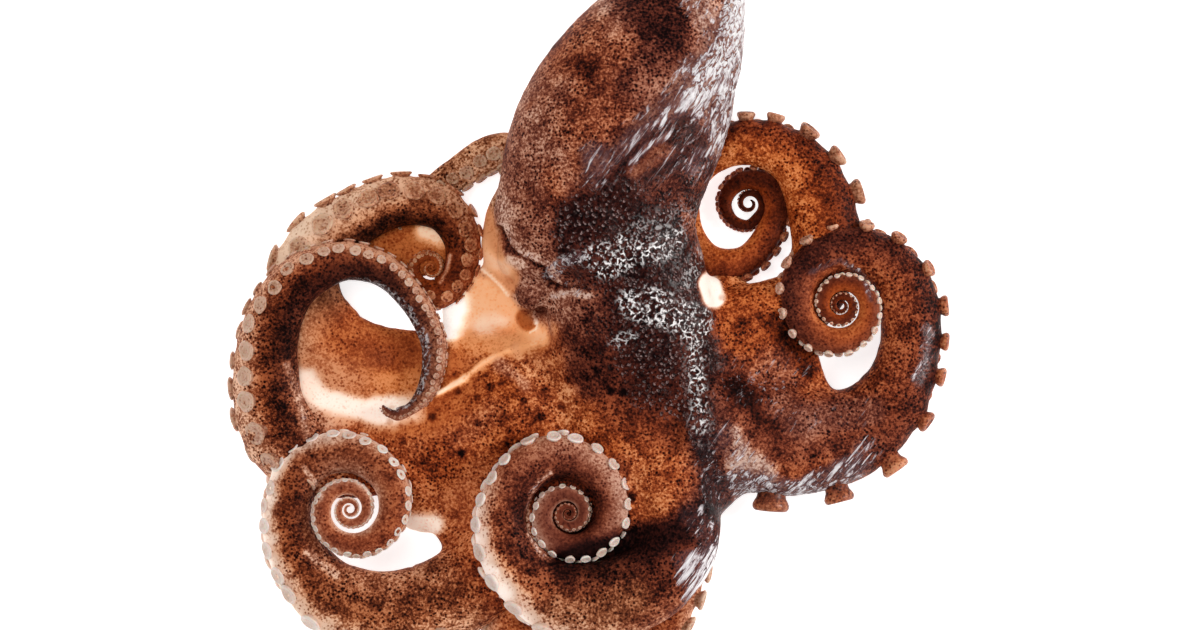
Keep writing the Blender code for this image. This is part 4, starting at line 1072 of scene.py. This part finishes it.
def pigmented(n):
    """The flesh's density of pigment, mottled at every scale by its grain. Returns both."""
    wide = n.minus(n.noise(22, 2, 0.5), 0.5)
    middling = n.times(n.minus(n.noise(6, 4, 0.65, 0.3), 0.5),
                       n.span(n.attribute("tone"), 0.2, 1.0, 1.1, 0.72))
    fine = n.minus(n.noise(1.15, 3, 0.65), 0.5)
    dots = n.minus(n.span(n.cells(1.4), 0.50, 0.12), 0.34)
    dotted = n.span(n.noise(10, 2, 0.5), 0.36, 0.62, 0.25, 1.0)
    mottled = n.plus(n.times(wide, 0.30), n.times(middling, 0.72))
    mottled = n.plus(mottled, n.times(fine, 1.05))
    mottled = n.plus(mottled, n.times(n.times(dots, dotted), 0.36))
    density = n.attribute("pigment")
    mottled = n.maths("MAXIMUM", mottled, n.span(density, 0.15, 0.62, -0.03, -0.24))
    calm = n.times(n.span(density, -0.05, 0.45, 0.15, 1.0), n.attribute("grain"))
    calm = n.times(calm, n.span(density, 0.80, 1.0, 1.0, 0.55))
    return n.plus(density, n.times(mottled, calm)), mottled


def flesh_colour(n, density):
    """The colour at a density: between the lit ramp and the thick one by the tone, then to tan."""
    flesh = n.mix(n.attribute("tone"), n.ramp(density, LIT), n.ramp(density, THICK))
    return n.mix(n.attribute("tan"), flesh, n.ramp(density, TAN))


def streak_pattern(n):
    """Noise drawn out along the mantle."""
    turned = n.add("Mapping", {"Vector": n.place(), "Rotation": (0, 0, -STREAK_HEADING)})[0]
    stretched = n.add("Mapping", {"Vector": turned, "Scale": (0.10, 1, 1)})[0]
    streaks = n.noise(1.9, 4, 0.72, 0.5, stretched)
    folds = n.maths("ABSOLUTE", n.minus(n.noise(5, 3, 0.6, 0.4, stretched), 0.5))
    return n.minus(streaks, n.span(folds, 0.045, 0.0, 0.0, 0.22))


def silvered(n, colour, streaks):
    """A painted sheen over the colour: a violet wash of reflection and silvery streaks of highlight."""
    silver = n.attribute("silver")
    sheen = n.plus(silver, n.times(n.minus(streaks, 0.48), 4.4))
    shown = n.times(n.span(sheen, 0.42, 0.95), n.span(silver, 0.02, 0.2))
    wash = n.times(n.span(silver, 0.08, 0.6, 0.0, 0.8), n.span(streaks, 0.3, 0.56, 0.3, 1))
    colour = n.mix(wash, colour, srgb(104, 76, 80))
    return n.mix(n.times(shown, 0.92), colour, n.ramp(n.times(sheen, 0.72), SHEEN))


def beaded(n, colour, beads):
    """Painted glints on bead-like papillae and a painted white network of highlights between them. Returns
    the beads too.
    """
    uneven = n.bent(2.4, 1.5)
    bead = n.cells(1.9, place=uneven)
    shade = n.span(n.cells(1.9, place=n.shifted(uneven, (-0.00042, -0.00026, 0.0))), 0.46, 0.30)
    speck = n.minus(n.span(bead, 0.44, 0.26), n.times(shade, 0.9), True)
    ring = n.span(n.cells(2.7, "DISTANCE_TO_EDGE", uneven), 0.16, 0.05)
    broken = n.span(n.noise(2.0, 2, 0.5), 0.44, 0.60)
    cluster = n.span(n.noise(7, 3, 0.6), 0.34, 0.56)
    # The pale specks on the papillae are painted glints; the white network and brighter specks are painted
    # highlights.
    faint = n.times(n.times(speck, cluster), n.span(beads, 0.2, 1.0))
    colour = n.mix(n.times(faint, 0.85), colour, srgb(186, 156, 152))
    glint = n.times(speck, n.span(n.noise(2.6, 2, 0.5), 0.40, 0.56))
    bright = n.maths("MAXIMUM", n.times(ring, broken), glint)
    patchy = n.span(n.noise(6, 3, 0.6), 0.28, 0.46)
    bright = n.times(bright, n.times(n.span(n.attribute("net"), 0.05, 0.9), patchy))
    return n.mix(n.times(bright, 0.97), colour, srgb(252, 248, 247)), bead


def skin_material():
    """Wet skin: pigment from clear through orange-brown to black, a painted sheen, beads with painted
    glints, folds, and a painted glow where the pigment is thin.
    """
    n = Nodes("octopus_skin")
    density, mottled = pigmented(n)
    blots = n.times(n.span(n.cells(8.0), 0.32, 0.10), n.attribute("spots"))
    density = n.plus(density, n.times(blots, 0.30))
    streaks, beads, wet = streak_pattern(n), n.attribute("beads"), n.attribute("wet")
    colour = silvered(n, flesh_colour(n, density), streaks)
    colour, bead = beaded(n, colour, beads)
    height = n.plus(n.times(mottled, -0.35), n.times(n.times(n.span(bead, 0.55, 0.08), beads), 1.1))
    height = n.plus(height, n.times(n.times(streaks, n.attribute("wrinkles")), 3.0))
    normal = n.bump(height, 0.8, 0.0008)
    # Emission of the flesh's own colour where the pigment is thin: a painted glow of light through thin
    # flesh.
    n.shade({
        "Base Color": colour, "Normal": normal, "Coat Normal": normal,
        "Roughness": n.span(wet, 0.0, 1.0, 0.55, 0.36), "Specular IOR Level": 0.05,
        "Coat Weight": n.span(wet, 0.2, 1.0, 0.0, 0.5), "Coat Roughness": 0.14,
        "Emission Color": colour, "Emission Strength": n.span(density, 0.42, 0.0, 0.0, 0.45),
    })
    return n.material


def sucker_material():
    """The suckers' flesh: the arms' pigment with less mottling, pale to tan."""
    n = Nodes("sucker_flesh")
    density, mottled = pigmented(n)
    n.shade({
        "Base Color": flesh_colour(n, density), "Normal": n.bump(mottled, 0.4, 0.0005),
        "Roughness": n.span(density, 0.1, 0.8, 0.38, 0.52), "Specular IOR Level": 0.3,
        "Subsurface Weight": 0.2, "Subsurface Scale": 0.002,
        "Coat Weight": 0.12, "Coat Roughness": 0.15,
    })
    return n.material


# ---- stage


def light_table():
    """A plain pale floor that gives a little light of its own, like a lit table."""
    half, height = 3.0, -0.0004
    corners = [(x * half, y * half, height) for x, y in ((-1, -1), (1, -1), (1, 1), (-1, 1))]
    data = bpy.data.meshes.new("floor")
    data.from_pydata(corners, [], [(0, 1, 2, 3)])
    n = Nodes("floor")
    n.shade({
        "Base Color": (0.8, 0.8, 0.8, 1), "Roughness": 0.9, "Specular IOR Level": 0.0,
        "Emission Color": (1, 1, 1, 1), "Emission Strength": 0.75,
    })
    data.materials.append(n.material)
    placed("floor", data)


def area_light(name, place, aim, size, power, colour=(1, 1, 1), mirrored=True):
    """A square soft light aimed at a point, seen in wet skin or not."""
    data = bpy.data.lights.new(name, "AREA")
    data.size = size
    data.energy = power
    data.color = colour
    light = placed(name, data)
    light.location = place
    to = np.array(aim, float) - np.array(place, float)
    light.rotation_euler = (math.atan2(math.hypot(to[0], to[1]), -to[2]), 0,
                            math.atan2(to[1], to[0]) - math.pi / 2)
    light.visible_glossy = mirrored


def camera():
    """Straight above, with a long lens."""
    height, flesh_height, framed_width, sensor = 2.4, 0.015, 0.48, 36
    data = bpy.data.cameras.new("camera")
    data.lens = sensor * (height - flesh_height) / framed_width
    data.sensor_width = sensor
    data.clip_end = 20
    eye = placed("camera", data)
    eye.location = (0, 0.034, height)
    bpy.context.scene.camera = eye


def stage():
    light_table()
    area_light("key", (-0.5, 0.5, 1.3), (0, 0.02, 0), 0.9, 9, mirrored=False)
    area_light("window", (1.05, 0.15, 0.62), (0.03, 0.05, 0.02), 0.35, 9, (1.0, 0.965, 0.945))
    area_light("fill", (-0.2, -1.1, 1.0), (0, 0, 0), 1.2, 5, mirrored=False)
    world = bpy.data.worlds.new("studio")
    world.use_nodes = True
    background = world.node_tree.nodes["Background"].inputs
    background["Color"].default_value = (1, 1, 1, 1)
    background["Strength"].default_value = 0.25
    world.cycles_visibility.glossy = False
    bpy.context.scene.world = world
    bpy.context.scene.view_settings.view_transform = "Standard"
    camera()


# ---- the scene


def main():
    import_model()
    wet_skin = skin_material()
    pieces = [skin()] + [arm_piece(name) for name in ARMS]
    for piece in pieces:
        piece.data.materials.append(wet_skin)
    cups = suckers()
    cups.data.materials.append(sucker_material())
    for piece in (*pieces, cups):
        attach(piece, "root")
        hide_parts("octopus")
        print(piece.name, len(piece.data.polygons), "faces")
    stage()


main()
